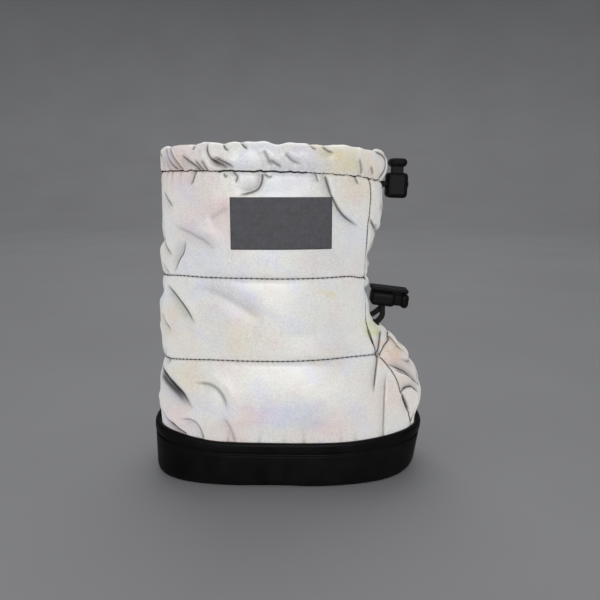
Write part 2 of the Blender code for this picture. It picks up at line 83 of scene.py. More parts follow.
# Upper
UPPER_TOP = 150.6 * MM
LOWER_STITCH = 63.5 * MM
UPPER_STITCH = 102.5 * MM
QUILT_FOOT = 19.0 * MM
SWELL_START = 22.0 * MM
SWELL_FULLNESS = 0.7
COLLAR_SLOPE, COLLAR_CROWN = 0.06, 0.4
HEEL_AT, BALL_AT = -38.0 * MM, 22.0 * MM
RIM_CLEAR = 0.6 * MM
RIM_BLEND = 11.0 * MM
RIM_SOFT = 7.0 * MM  # how far above the rim the fabric begins to bulge
FIT_GAP = 0.35 * MM
QUILT_THICKNESS = 2.2 * MM
DEEPEST_FOLD = 1.8 * MM
INNER_ROWS = 9
EVEN_AT = 45.0 * MM  # the height whose outline spaces the columns of the fabric

# Fabric near the sewn rows: a dip, and a line of painted shade along each row
ROW_CALM = 9.0 * MM
ROW_DIP, ROW_DIP_WIDTH = 0.7 * MM, 1.4 * MM
ROW_SHADE, ROW_SHADE_WIDTH = 0.14, 0.5 * MM

# Where the fabric is loose, and its lumps of filling
HEEL_LOOSE_FROM, HEEL_LOOSE_RUN = -44.0 * MM, 20.0 * MM
TOE_LOOSE_FROM, TOE_LOOSE_RUN = 36.0 * MM, 14.0 * MM
COLLAR_LOOSE_RUN, FAR_LOOSE_RUN = 8.0 * MM, 20.0 * MM
LOOSE_LEAST, LOOSE_HEEL, LOOSE_TOE, LOOSE_COLLAR, LOOSE_FAR = 0.12, 0.7, 0.8, 0.5, 0.4
LUMP_SIZE, LUMP_DEPTH, LUMP_LEAST = 19.0 * MM, 0.8 * MM, 0.4
# Columns: size, depth, shift of the noise
CRUMPLES = ((12.0 * MM, 1.1 * MM, 7.3), (5.5 * MM, 0.45 * MM, 3.1))
CRUMPLE_STRETCH = np.array((1.0, 1.0, 0.7))
CRUMPLE_CREST = 0.4

# How a crease is pressed in, in widths of the crease
PRESS_REACH = 4.0
FADE_IN, FADE_OUT = 0.3, 0.35  # shares of its length
LIP_WIDTH = 1.9
# A dark line of painted shade along each crease, and softer painted shade on one side of it
LINE_WIDTH, LINE_LEAST = 0.36, 0.42  # the least is in millimetres
SOFT_SHADE, SOFT_REACH = 0.32, 1.3

# The near side, whose folds are in the tables, so that few fall by chance
CALM_SIDE = 18.0 * MM
CALM_FROM, CALM_RUN, CALM_LOSS = -44.0 * MM, 10.0 * MM, 0.8

# Drawcord casing
CASING_GAP = 0.05 * MM
CASING_BACK_LOSS, CASING_BACK_FROM, CASING_BACK_RUN = 0.2, -16.0 * MM, 46.0 * MM
CASING_FRONT_GAIN, CASING_FRONT_FROM, CASING_FRONT_RUN = 0.1, 10.0 * MM, 38.0 * MM
CASING_LEAN = 1.2 * MM
CASING_LEAN_RUN = 6.0 * MM
CASING_WIDTH = 13.2 * MM
# Pleats of the casing; the shade is painted shade in each pleat
PLEAT_PITCH, PLEAT_WIDTH, PLEAT_DEPTH, PLEAT_SHADE = 6.0 * MM, 0.9 * MM, 0.8 * MM, 0.2
PLEAT_SLANT = 0.9
PLEAT_SHORTEST, PLEAT_LONGEST = 3.0, 11.0
PLEAT_SEED, PLEAT_LENGTH_SEED = 21, 22
PLEAT_END, PLEAT_END_RUN = -4.0, 3.0  # pleats end on the inner side of the casing
# Columns: size, shift of the noise, share
PUCKERS = ((12.0 * MM, 4.0, 1.0), (5.5 * MM, 9.0, 0.6))
PUCKER_DEPTH, PUCKER_FROM, PUCKER_RUN = 1.3 * MM, 2.0, 9.0

# Lining and footbed
LINING_OUTSIDE, LINING_INSIDE = 2.4 * MM, 3.4 * MM
LINING_FOOT = 9.0 * MM
LINING_OVER = 2.0 * MM
FOOTBED_LOW, FOOTBED_HIGH = 5.6 * MM, 9.5 * MM
FOOTBED_EDGE = 6.3 * MM
FOOTBED_CUP = 0.6 * MM
FOOTBED_ROUND = 0.8 * MM
FOOTBED_ROWS, FOOTBED_MIDDLE = 40, 0.04
FOOTBED_UNDER, FOOTBED_TOP = 0.98, 0.985  # shares of its plan where its edge begins to round
PILE_DEPTH, PILE_SIZE = 0.35 * MM, 2.3 * MM

# Patch
PATCH_CENTRE_X, PATCH_CENTRE_Z = -2.7 * MM, 128.5 * MM
PATCH_LENGTH, PATCH_HEIGHT = 46.0 * MM, 23.6 * MM
PATCH_LOW, PATCH_HIGH = 0.35 * MM, 1.2 * MM
PATCH_EDGE, PATCH_EDGE_HEIGHT = 0.8 * MM, 0.35
PATCH_MARGIN, PATCH_BLEND = 1.0 * MM, 4.0 * MM
PATCH_COLUMNS, PATCH_ROWS = 121, 65

# Threads: pitch, length and thickness of their stitches
Thread = namedtuple("Thread", "pitch length thickness")
QUILT_THREAD = Thread(2.4 * MM, 2.5 * MM, 0.26 * MM)
QUILT_KNOT = Thread(2.4 * MM, 0.8 * MM, 0.6 * MM)
CASING_THREAD = Thread(2.0 * MM, 1.65 * MM, 0.32 * MM)
PULLED_THREAD = Thread(1.7 * MM, 1.6 * MM, 0.6 * MM)
PULLED_FROM, PULLED_TO = -30.0 * MM, 9.0 * MM
SEAM_THREAD = Thread(2.3 * MM, 1.9 * MM, 0.36 * MM)
EYELET_THREAD = Thread(0.5 * MM, 0.7 * MM, 0.5 * MM)
CASING_WOBBLE, CASING_WOBBLE_SIZE, CASING_WOBBLE_SHIFT = 0.65 * MM, 2.6 * MM, 2.0
STITCH_RINGS, STITCH_SIDES = 9, 6
STITCH_RISE, STITCH_DIP, STITCH_FLARE, STITCH_BEND = 0.25, 0.45, 0.3, 6

# Cord and cord locks
CORD_DIAMETER = 3.0 * MM
CORD_ROOT = 1.6 * MM  # how far a strand runs into its eyelet
BRAID_PITCH = 4.2 * MM
BRAID_STEP = 0.12 * MM
BRAID_SIDES = 32
BRAID_CORE = 0.88
CORD_STEPS = 24
CORD_ASIDE = np.array((0.31, 0.87, 0.38))  # a way that no strand runs
STRAND_SPREAD = 1.65 * MM
EYELET_RADIUS = 2.1 * MM
COLLAR_LOCK_DEPTH, ANKLE_LOCK_DEPTH = 10.4 * MM, 7.4 * MM
CORD_AT = 6.8 * MM
COLLAR_LOCK_AT = Vector((54.1, 0.0, 139.0)) * MM
ANKLE_LOCK_AT = Vector((42.6, 0.0, 88.5)) * MM
COLLAR_LOCK_LEAN = math.radians(2.0)
ANKLE_LOCK_DROOP = math.radians(7.0)
ANKLE_LOCK_ROLL = math.radians(2.0)
COLLAR_EYELET_HEIGHT = 149.3 * MM
COLLAR_EYELET_SPREAD = 1.8 * MM
COLLAR_STRAND_LEAD, COLLAR_STRAND_TAIL = 0.6 * MM, 0.5 * MM
ANKLE_EYELET_SPREAD = 3.2 * MM
ANKLE_STRAND_FAN = 1.2
ANKLE_STRAND_LEAD, ANKLE_STRAND_SEAT = 1.8 * MM, 0.6 * MM
EYELET_GAP = 0.8 * MM
EYELET_SPAN, EYELET_TURNS, EYELET_NEAR = 0.2, 8001, 40
EYELET_NEAR_HEIGHT = 0.5 * MM
EYELET_CORNERS = 25
# Columns: side, name, height, reach
ANKLE_STRANDS = ((-1, "near", 75.0, 3.6), (1, "far", 77.6, 1.2))

# Floor, light and camera
FLOOR_FLAT, FLOOR_SWEEP, FLOOR_WALL = 1.6, 1.2, 1.2
FLOOR_RINGS = (0.02, 0.4, 0.9, FLOOR_FLAT)
FLOOR_AROUND, FLOOR_SWEEP_STEPS = 96, 16
LIGHTS_FACE = Vector((0.0, 0.0, 0.08))
# Columns: name, place, size, power, spread
LIGHTS = (
    ("key", (0.0, -1.3, 0.4), 0.36, 1.4, math.radians(60.0)),
    ("above", (0.0, 1.3, 2.1), 2.0, 20.0, math.pi),
)
SKY_COLOUR, SKY_STRENGTH = (0.95, 0.97, 1.0, 1.0), 0.36
CAMERA_AT = (5.85 * MM, -318.0 * MM, 148.1 * MM)
CAMERA_PITCH = math.radians(11.0)
CAMERA_LENS, CAMERA_SENSOR, CAMERA_NEAREST = 37.2, 36.0, 0.01

# Fineness of the meshes
AROUND = 800
CASING_STEPS = 5
LINING_ROWS, LINING_COARSE = 90, 4
SOLE_AROUND, SOLE_STEPS = 288, 4
UNDER_RINGS, UNDER_MIDDLE = 12, 0.05
FINE_TURNS = 40001
NEAR_TURN = 0.002
PATH_STEPS, PATH_PITCH = 12, 0.4 * MM

# Quilted rows. Columns: name, from, to, steps, swell
QUILTS = (
    ("lower_quilt", QUILT_FOOT, LOWER_STITCH, 112, 2.2 * MM),
    ("middle_quilt", LOWER_STITCH, UPPER_STITCH, 96, 1.5 * MM),
    ("upper_quilt", UPPER_STITCH, UPPER_TOP, 112, 0.8 * MM),
)

# The upper above the rim, without the swell of its filling.
# Columns: height, back, front, heel_half, ball_half, nose, tail
UPPER_SECTIONS = (
    (30.0, -66.5, 67.2, 36.8, 37.8, 2.5, 3.0),
    (36.0, -65.9, 67.5, 36.6, 37.8, 2.5, 3.0),
    (45.0, -65.6, 66.8, 36.2, 37.4, 2.4, 2.9),
    (52.0, -65.2, 64.6, 35.8, 37.0, 2.3, 2.8),
    (63.5, -64.2, 57.6, 35.4, 36.2, 2.1, 2.7),
    (69.0, -64.5, 52.4, 35.4, 35.8, 2.0, 2.7),
    (75.5, -64.3, 43.7, 35.4, 35.4, 2.0, 2.6),
    (79.0, -64.4, 41.3, 35.4, 35.4, 2.1, 2.6),
    (85.0, -64.4, 40.3, 35.4, 35.4, 2.2, 2.6),
    (102.5, -63.6, 39.9, 35.2, 35.2, 2.3, 2.5),
    (112.0, -64.0, 40.7, 35.2, 35.2, 2.3, 2.5),
    (122.0, -62.5, 43.4, 35.4, 35.4, 2.3, 2.5),
    (135.0, -62.0, 45.9, 35.5, 35.5, 2.3, 2.5),
    (150.6, -62.3, 46.8, 35.6, 35.6, 2.3, 2.5),
)

# How far up or down the three sewn rows run off their level. Columns: x, lower, upper, top
ROW_SLIDES = (
    (-66.0, -5.0, -1.5, -0.9),
    (-60.0, -3.3, -0.3, -0.7),
    (-52.0, -1.6, 0.8, -0.6),
    (-38.0, -0.2, 0.8, -0.3),
    (-20.0, 0.0, 0.7, 0.2),
    (-4.0, 0.0, 0.4, 0.8),
    (18.0, 0.6, 0.2, 1.3),
    (30.0, 1.0, -0.2, 1.5),
    (38.0, 0.8, -2.4, 1.0),
    (46.0, 0.4, -2.6, 0.2),
)
ROW_REACH = 13.0 * MM

# Section of the casing. Columns: out from the upper, up from its top edge
CASING_PROFILE = (
    (0.1, 0.0),
    (1.0, 2.6),
    (1.4, 6.0),
    (1.0, 9.7),
    (-0.4, 12.3),
    (-2.6, 13.2),
    (-4.6, 11.8),
    (-5.4, 8.6),
    (-5.2, 4.3),
    (-3.4, 0.0),
)

# Side wall of the cup from the ground to the groove. Columns: inset, height
CUP_FOOT = ((6.0, 0.9), (4.4, 0.05), (2.6, 0.0), (1.3, 0.4), (0.45, 1.5), (0.0, 3.4), (0.0, 6.0))
# Bead at the top of the cup wall. Columns: inset, height below the rim
CUP_BEAD = (
    (0.0, 7.2),
    (0.12, 6.6),
    (0.8, 6.1),
    (0.8, 5.3),
    (0.1, 4.8),
    (-0.15, 4.0),
    (-0.15, 1.6),
    (0.1, 0.5),
    (0.7, 0.0),
    (1.9, 0.0),
    (2.5, 0.5),
    (2.6, 1.2),
)

# Creases on each face. A positive depth is a trough and a negative one a ridge; the shade is painted shade in
# it. The lean raises the fabric on one side and paints shade on the other. Near and far places are (x, z),
# front and back ones (y, z).
# Columns: width, depth, lean, shade, where it fades, places
Crease = namedtuple("Crease", "face width depth lean shade fade places")
CREASES = {
    "near": (
        (1.2, 1.0, 0.5, 0.9, "end", ((17.5, 149), (19.1, 144), (20.8, 139.6), (25.9, 132), (34.4, 125.6))),
        (1.0, 0.5, 0.4, 0.6, "end", ((31, 150.4), (32, 148), (33, 145))),
        (0.9, 0.4, 0.4, 0.5, "end", ((13, 150.5), (13.5, 149), (14.4, 146.5))),
        (0.9, 0.5, 0.4, 0.65, "end", ((-41.6, 151.5), (-42.6, 148.3), (-44.2, 145.2))),
        (0.8, 0.4, 0.0, 0.6, "both", ((-28.7, 151.3), (-27.6, 149.4), (-26.4, 151.1))),
        (0.8, 0.4, 0.2, 0.65, "end", ((-23.8, 151.2), (-22.2, 149.1), (-23.6, 146.1))),
        (0.8, 0.4, 0.0, 0.6, "both", ((-10.6, 151), (-7.8, 149.2), (-5.9, 150.8))),
        (
            1.5, 0.9, 0.5, 0.65, "end",
            ((-11, 150), (-11.4, 146.8), (-13.4, 143.6), (-18, 141.9), (-23, 140.8)),
        ),
        (3.6, 0.9, 0.3, 0.1, "both", ((-38, 129), (-31, 133.2), (-25, 137))),
        (3.4, -1.2, 0.3, 0.0, "both", ((-56, 132), (-48, 128), (-40, 124.5), (-34, 121))),
        (2.6, 1.0, 0.8, 0.18, "both", ((-53, 127), (-44, 123.5), (-37, 119.5), (-32, 115))),
        (1.6, 1.3, 0.7, 0.65, "both", ((-47.5, 121), (-49.1, 114.7), (-52, 110), (-54.5, 103.5))),
        (1.6, 0.8, 0.3, 0.55, "both", ((-59.4, 143), (-57.2, 138.6), (-53, 135))),
        (1.4, 0.8, 0.3, 0.6, "both", ((-60.6, 121), (-58.4, 116), (-54.4, 112))),
        (1.1, 0.9, 0.3, 0.75, "both", ((-61.2, 108.5), (-60, 105.6), (-57, 103))),
        (1.4, 0.8, 0.3, 0.6, "both", ((-62.2, 84), (-60, 79), (-56, 75))),
        (1.7, 1.3, 0.7, 0.9, "both", ((-59, 98.5), (-53.2, 93.3), (-48.1, 87.6), (-43, 80))),
        (4.6, 1.0, 0.3, 0.08, "both", ((-46, 99), (-33, 96.6), (-18.7, 88.8), (-9, 81))),
        (1.1, 0.9, 0.3, 0.8, "both", ((-62, 66), (-61, 61.4), (-58.4, 58))),
        (
            2.6, 1.6, 0.3, 1.0, "both",
            ((-67, 54.6), (-65.4, 53), (-60.5, 51.2), (-54.5, 47.6), (-50, 44.2), (-45, 37.6)),
        ),
        # A broad shallow band below the heel fold, mostly painted shade
        (3.4, 0.3, 0.0, 0.55, "both", ((-66, 51), (-59.5, 48.4), (-53.5, 44.8), (-47.5, 39.5))),
        (2.4, 1.1, 0.7, 0.32, "both", ((-46, 52), (-36.8, 51.6), (-31.2, 47), (-28, 38))),
        (1.1, 0.9, 0.4, 0.95, "start", ((-65, 34), (-60, 30), (-55, 27.6), (-50.5, 25.6))),
        (0.9, 0.6, 0.3, 0.8, "both", ((-58.5, 31), (-56, 28.6), (-53, 25.6))),
        (1.6, 1.0, 0.7, 0.42, "start", ((-53, 33), (-47, 33), (-43.5, 30), (-41.6, 24.5))),
        (2.4, 0.8, 0.6, 0.2, "start", ((-31, 37), (-28, 30.5), (-26, 24))),
        (1.0, 0.5, 0.15, 0.8, "end", ((44, 63.2), (42.6, 56.5), (41, 46))),
        (1.2, 0.5, 0.15, 0.4, "start", ((47.9, 57), (46.8, 46), (46.4, 36), (46.8, 24))),
        (0.9, 0.7, 0.3, 0.9, "start", ((47.5, 72.6), (45.9, 70.5), (44.4, 64.6))),
        (0.9, 0.6, 0.3, 0.7, "both", ((39.4, 76), (41.2, 71.6), (43.4, 66.4))),
        (1.5, 1.1, -0.7, 1.0, "both", ((47.5, 59.6), (54.8, 56.2), (60.7, 52.2), (67, 44))),
        (1.2, 0.7, -0.5, 0.8, "both", ((51, 56.8), (58.9, 52.3), (65.6, 47))),
        (1.3, 0.9, -0.6, 0.95, "both", ((54.8, 44), (57.9, 46.7), (62.2, 46), (66.2, 41))),
        (1.2, 0.7, 0.3, 0.9, "both", ((56, 45.2), (58.2, 40.5), (60.6, 34))),
        (1.0, 0.7, 0.4, 0.75, "start", ((67, 34), (65, 30), (62.6, 25))),
        (1.0, 0.8, 0.4, 0.9, "both", ((39, 130), (40.5, 128), (43.6, 123.6))),
        (1.2, 0.9, 0.5, 0.65, "both", ((42.4, 118.5), (40.3, 112), (40, 106.5))),
        (1.2, 0.9, 0.5, 0.6, "both", ((40.4, 105), (39.6, 100), (40, 95))),
    ),
    "far": (
        (2.2, 1.4, 0.8, 0.6, "end", ((-24, 151), (-20, 143), (-12, 138), (-2, 136))),
        (1.4, 1.0, 0.5, 0.7, "end", ((26, 150), (24, 141), (18, 134), (14, 128))),
        (4.2, 1.1, 0.3, 0.1, "both", ((-44, 124), (-34, 118), (-22, 116))),
        (3.0, -1.0, 0.3, 0.0, "both", ((4, 128), (14, 121), (27, 118))),
        (2.0, 1.5, -0.6, 0.55, "both", ((-55, 98), (-50, 91), (-48, 83))),
        (4.4, 1.0, 0.4, 0.1, "both", ((-24, 94), (-8, 90), (8, 92))),
        (2.0, 1.3, 0.6, 0.4, "both", ((20, 86), (29, 81), (37, 79))),
        (2.5, 1.6, 0.6, 0.8, "both", ((-63, 56), (-56, 50), (-47, 47), (-41, 41))),
        (3.0, 1.2, 0.5, 0.22, "both", ((-26, 54), (-14, 51), (-4, 45))),
        (1.7, 1.0, 0.6, 0.5, "start", ((-36, 38), (-33, 32), (-33, 25))),
        (1.8, 0.9, 0.5, 0.4, "start", ((12, 40), (14, 33), (13, 24))),
        (1.0, 0.5, 0.2, 0.6, "end", ((44, 63), (42, 55), (43, 46))),
        (1.4, 1.1, -0.6, 0.6, "both", ((50, 58), (57, 53), (63, 49))),
    ),
    "front": (
        # These four short creases paint shade along the front edges where the sides turn away; their troughs
        # are shallow
        (2.2, 0.5, 0.3, 0.6, "both", ((-7, 147), (-7.5, 139), (-6.5, 130))),
        (2.2, 0.5, 0.3, 0.6, "both", ((-6, 120), (-7, 112), (-6.5, 103))),
        (2.2, 0.5, 0.3, 0.6, "both", ((-6, 72), (-6.5, 66), (-8, 58))),
        (2.2, 0.5, 0.3, 0.6, "both", ((-8.5, 52), (-9.5, 42), (-9, 32))),
        (2.0, 1.5, 0.6, 0.5, "both", ((-15, 97), (-4, 93), (6, 94), (15, 98))),
        (1.8, 1.2, 0.6, 0.5, "both", ((14, 112), (5, 108), (-6, 110), (-14, 115))),
        (2.0, 1.2, 0.6, 0.4, "both", ((-16, 127), (-5, 122), (4, 123))),
        (1.8, 1.1, 0.6, 0.4, "both", ((16, 134), (6, 129), (-2, 131))),
        (2.2, 1.4, 0.6, 0.4, "both", ((-19, 60), (-7, 56), (6, 57), (19, 61))),
        (2.0, 1.1, -0.5, 0.4, "both", ((-17, 46), (-6, 43), (8, 45))),
        (2.0, 1.0, 0.5, 0.4, "both", ((20, 51), (11, 48), (3, 50))),
    ),
    "back": (
        (2.4, 1.5, 0.5, 0.6, "both", ((0, 52), (8, 51.4), (16, 54), (24, 58))),
        (2.2, 1.2, 0.6, 0.45, "both", ((-18, 44), (-4, 40), (10, 42))),
        (2.2, 1.4, -0.6, 0.5, "both", ((20, 94), (8, 89), (-6, 91), (-20, 96))),
        (2.0, 1.1, 0.6, 0.4, "both", ((-16, 80), (-3, 77), (12, 79))),
        (2.2, 1.2, 0.6, 0.45, "both", ((-20, 122), (-8, 117), (4, 118))),
        (2.0, 1.2, -0.6, 0.45, "both", ((20, 136), (9, 130), (-3, 131))),
    ),
}

# Folds of the casing on the near side, with painted shade in them. Columns as for the creases
CASING_CREASES = (
    (0.9, 0.8, 0.5, 0.85, "start", ((-57.9, 163), (-56.5, 159), (-53.8, 155.2), (-51, 152.6))),
    (0.9, 0.7, 0.5, 0.7, "start", ((-55.3, 163.4), (-53.1, 158.9), (-49.9, 154.8), (-47.8, 152.4))),
    (0.9, 0.8, 0.5, 0.85, "start", ((-61.8, 160.5), (-59.3, 157.1), (-57.7, 153.4))),
    (1.1, 1.0, 0.6, 0.95, "start", ((-48.6, 159.4), (-44.8, 156.3), (-42.3, 154.5), (-39.6, 152.2))),
    (0.8, 0.6, 0.4, 0.7, "start", ((-41.4, 157), (-39.3, 154), (-37.6, 152))),
    (0.8, 0.6, 0.4, 0.65, "start", ((-38.6, 157), (-37.2, 154.3), (-35.8, 152))),
    (1.0, 0.9, 0.6, 0.85, "both", ((-35.5, 164.5), (-35.5, 160.1), (-33.3, 156.3), (-28.6, 152.6))),
    (1.1, 0.9, 0.6, 0.95, "both", ((-34.6, 158), (-30.1, 155), (-25.6, 152.2))),
    (1.2, 1.0, 0.6, 0.95, "both", ((-32.8, 158.4), (-27.6, 155.5), (-22.5, 152.8))),
    (2.0, 0.7, 0.6, 0.3, "both", ((-10.6, 162), (-8.1, 156.5), (-5.4, 152.8))),
    (1.2, 0.7, 0.6, 0.6, "both", ((-7.6, 157.2), (-4.9, 154.9), (-1.6, 153.2))),
    (1.4, 0.7, 0.6, 0.4, "both", ((-1.5, 160.5), (0.6, 158), (2.6, 156.3), (7, 154.2))),
    (1.0, 0.8, 0.5, 0.8, "both", ((14.5, 163.4), (18, 161.2), (21.4, 159.2))),
    (1.0, 0.9, 0.5, 0.9, "both", ((38, 162.4), (42, 161.2), (47.6, 157.8))),
    (0.9, 0.5, 0.4, 0.5, "start", ((32.6, 158), (33.9, 154), (34.2, 150.8))),
    (0.8, 0.4, 0.2, 0.6, "both", ((38.4, 154.4), (39.8, 151.6), (39.4, 149.2))),
    (1.0, 0.8, 0.5, 0.75, "start", ((46.4, 160.5), (47.4, 156), (46.6, 151.6), (44.6, 148.6))),
    (0.9, 1.2, 0.0, 0.9, "end", ((-42, 165), (-42.4, 163), (-43.2, 160.6))),
    (0.9, 1.2, 0.0, 0.9, "end", ((-28.4, 164.6), (-27.5, 162), (-25, 160.4))),
    (0.9, 1.2, 0.0, 0.9, "end", ((-20.6, 165.4), (-19, 163), (-16.8, 161))),
    (0.9, 1.0, 0.0, 0.8, "end", ((9.4, 164.6), (11, 162.6), (13.6, 160.6))),
)

# Sewn seams. The front strip and the toe panel have one on each side
FRONT_SEAM = (
    (38.9, 148.4),
    (39.6, 138.4),
    (38.7, 125.7),
    (38.5, 116.8),
    (38.7, 99.7),
    (39.5, 90.9),
    (39.3, 79.1),
    (40.9, 72.4),
    (44.2, 63.9),
)
TOE_SEAM = ((44.2, 63.9), (48.6, 59.2), (52.8, 52.8), (55.2, 47.2), (58.4, 39), (60.5, 32.9), (63.1, 25.7))
INSTEP_SEAM = ((-23, 63.9), (-17, 67.1), (-6, 69.6), (0, 70), (6, 69.6), (17, 67.1), (23, 63.9))
SEAMS = (
    ("near", FRONT_SEAM),
    ("near", TOE_SEAM),
    ("far", FRONT_SEAM),
    ("far", TOE_SEAM),
    ("front", INSTEP_SEAM),
)
# Seams are pressed like creases, with painted shade along them
SEAM_PRESS = (0.9, 0.7, 0.0, 0.4, "none")  # columns as for the creases
STRIP_BLEND = 3.0 * MM

# Gathers along the sewn rows, with painted shade in each. Columns: row, pitch, depth, length, shade, seed
GATHERS = (
    (RIM_HEIGHT, 11.0 * MM, 0.30 * MM, 3.0 * MM, 0.16, 2),
    (LOWER_STITCH, 9.0 * MM, 0.15 * MM, 3.0 * MM, 0.05, 3),
    (UPPER_STITCH, 10.0 * MM, 0.15 * MM, 3.0 * MM, 0.05, 5),
    (UPPER_TOP, 6.5 * MM, 0.50 * MM, 3.0 * MM, 0.30, 8),
)
GATHER_WIDTH = 0.7 * MM
GATHER_UNEVEN, GATHER_WEAKEST = 0.4, 0.15

# Faint tints of the reflective fabric, painted iridescent reflection in patches. Columns: x, z, radius,
# colour
TINTS = (
    (-47, 150, 13, (1.0, 0.89, 0.88)),
    (-31, 133, 11, (1.0, 0.88, 0.88)),
    (-44, 125, 9, (0.90, 0.87, 0.96)),
    (-34, 114, 9, (0.91, 0.94, 1.0)),
    (-4, 148, 9, (0.90, 0.92, 1.0)),
    (6, 147, 7, (0.92, 0.92, 1.0)),
    (32, 144, 8, (1.0, 0.92, 0.83)),
    (20, 112, 13, (0.94, 0.95, 1.0)),
    (-28, 95, 12, (0.88, 0.88, 0.98)),
    (-16, 86, 8, (0.89, 0.89, 0.98)),
    (18, 94.6, 3, (1.0, 0.93, 0.66)),
    (-21, 79, 12, (1.0, 0.95, 0.84)),
    (-55, 80, 9, (1.0, 0.91, 0.82)),
    (20, 68, 11, (0.91, 0.91, 1.0)),
    (19, 61, 8, (1.0, 0.94, 0.82)),
    (-49, 54, 9, (1.0, 0.94, 0.82)),
    (-14, 39, 7, (0.95, 0.82, 0.92)),
    (2, 39, 8, (0.83, 0.87, 1.0)),
    (12, 36, 6, (0.84, 0.88, 1.0)),
    (33, 41, 6, (0.91, 0.89, 0.98)),
    (-26, 29, 9, (1.0, 0.87, 0.88)),
    (20, 27, 12, (1.0, 0.90, 0.91)),
    (-54, 33, 10, (1.0, 0.87, 0.90)),
    (53, 46, 13, (1.0, 0.88, 0.85)),
    (52, 64, 5, (1.0, 0.76, 0.56)),
    (43, 75, 4, (0.88, 0.90, 0.50)),
    (19, 158, 7, (1.0, 0.91, 0.62)),
    (26, 157, 6, (1.0, 0.92, 0.68)),
    (12, 156, 6, (0.88, 0.90, 1.0)),
    (2, 158, 6, (0.93, 0.92, 1.0)),
    (-50, 158, 10, (1.0, 0.89, 0.86)),
    (40, 155, 7, (1.0, 0.91, 0.82)),
)
TINT_STRENGTH = 0.7
TINT_DRIFT, TINT_DRIFT_SIZE, TINT_DRIFT_SHIFTS = 7.0, 8.0 * MM, (0.0, 31.0)

# Silver fabric: stops of its pearly colour, and the colour of painted shade deep in a fold
PEARL = (
    (0.32, (0.80, 0.81, 0.86)),
    (0.45, (0.83, 0.83, 0.81)),
    (0.55, (0.84, 0.83, 0.79)),
    (0.68, (0.84, 0.79, 0.78)),
)
PAINTED_FOLD_SHADE = (0.035, 0.032, 0.034, 1.0)
# Columns: name, darkest, palest, scale, roughness, strength and depth of the bump
FIBRES = (
    ("black_thread", 0.004, 0.022, 2600.0, 0.8, 0.5, 0.2 * MM),
    ("dark_fleece", (0.02, 0.02, 0.022), (0.085, 0.083, 0.085), 420.0, 0.95, 0.9, 1.2 * MM),
    ("black_elastic_braid", 0.003, 0.014, 2400.0, 0.85, 0.6, 0.25 * MM),
)
# Columns: name, darkest, palest, roughness, scale of the grain
MOULDED = (
    ("black_rubber_satin", (0.002, 0.002, 0.0024), (0.006, 0.006, 0.0068), 0.42, 1300.0),
    ("black_rubber_tread", 0.004, 0.012, 0.6, 1300.0),
    ("black_plastic_moulded", 0.003, 0.008, 0.4, 1800.0),
)
PLASTIC_NODES = (
    "collar_lock_body",
    "collar_lock_plunger",
    "ankle_lock_body",
    "ankle_lock_plunger",
    "ankle_cord_end",
)

# Shade is the painted shade that creases, rows, seams and gathers leave on the fabric
Cloth = namedtuple("Cloth", "points normal tree lift shade")


# Shape of the sole and the upper


def smooth_step(share):
    share = np.clip(share, 0.0, 1.0)
    return share * share * (3.0 - 2.0 * share)


def bell(gap):
    return np.exp(-(gap**2))


def unit(vectors):
    return vectors / np.maximum(np.linalg.norm(vectors, axis=-1, keepdims=True), 1e-12)


def read_table(rows, at):
    """Each column after the first, at values of the first, on a smooth curve through the rows."""
    rows = np.array(rows)
    last = len(rows) - 1
    index = np.arange(last + 1)
    before, after = rows[np.maximum(index - 1, 0)], rows[np.minimum(index + 1, last)]
    slopes = (after[:, 1:] - before[:, 1:]) / (after[:, :1] - before[:, :1])
    at = np.clip(at, rows[0, 0], rows[-1, 0])
    low = np.clip(np.searchsorted(rows[:, 0], at, side="right") - 1, 0, last - 1)
    step = rows[low + 1, 0] - rows[low, 0]
    t = ((at - rows[low, 0]) / step)[..., None]
    step = step[..., None]
    values = (
        (2 * t**3 - 3 * t**2 + 1) * rows[low, 1:]
        + (t**3 - 2 * t**2 + t) * slopes[low] * step
        + (3 * t**2 - 2 * t**3) * rows[low + 1, 1:]
        + (t**3 - t**2) * slopes[low + 1] * step
    )
    return np.moveaxis(values, -1, 0)


def outline_xy(section, turn):
    """A section's outline in plan. The turn runs once round from the front, anticlockwise from above."""
    back, front, heel_half, ball_half, nose, tail = section
    along, across = np.cos(2.0 * np.pi * turn), np.sin(2.0 * np.pi * turn)
    middle = (back + front) / 2.0
    reach = np.where(along >= 0, front - middle, middle - back)
    power = np.where(along >= 0, nose, tail)
    x = middle + np.sign(along) * reach * np.abs(along) ** (2.0 / power)
    half = heel_half + (ball_half - heel_half) * smooth_step((x - HEEL_AT) / (BALL_AT - HEEL_AT))
    y = np.sign(across) * half * np.abs(across) ** (2.0 / power)
    return np.stack(np.broadcast_arrays(x, y), axis=-1)


def outline_point(section, turn, inset):
    """A point of the outline, moved in along the outline's own normal."""
    tangent = outline_xy(section, turn + NEAR_TURN) - outline_xy(section, turn - NEAR_TURN)
    outward = unit(np.stack((tangent[..., 1], -tangent[..., 0]), axis=-1))
    return outline_xy(section, turn) - outward * np.asarray(inset)[..., None]


def cup_section(height):
    """The outside of the sole's wall at a height."""
    lean = np.maximum(1.0 - height / RIM_HEIGHT, 0.0)
    half = SOLE_LENGTH / 2.0
    heel, ball = HEEL_WIDTH / 2.0 - SIDE_LEAN * lean, BALL_WIDTH / 2.0 - SIDE_LEAN * lean
    return -half, half - TOE_LEAN * lean, heel, ball, CUP_NOSE, CUP_TAIL


def rim_height(x):
    """The cup's rim dips at the waist and rises at heel and toe."""
    toe = smooth_step((x - RIM_TOE_FROM) / RIM_TOE_RUN)
    heel = smooth_step((RIM_HEEL_FROM - x) / RIM_HEEL_RUN)
    return RIM_HEIGHT + RIM_TOE_RISE * toe + RIM_HEEL_RISE * heel


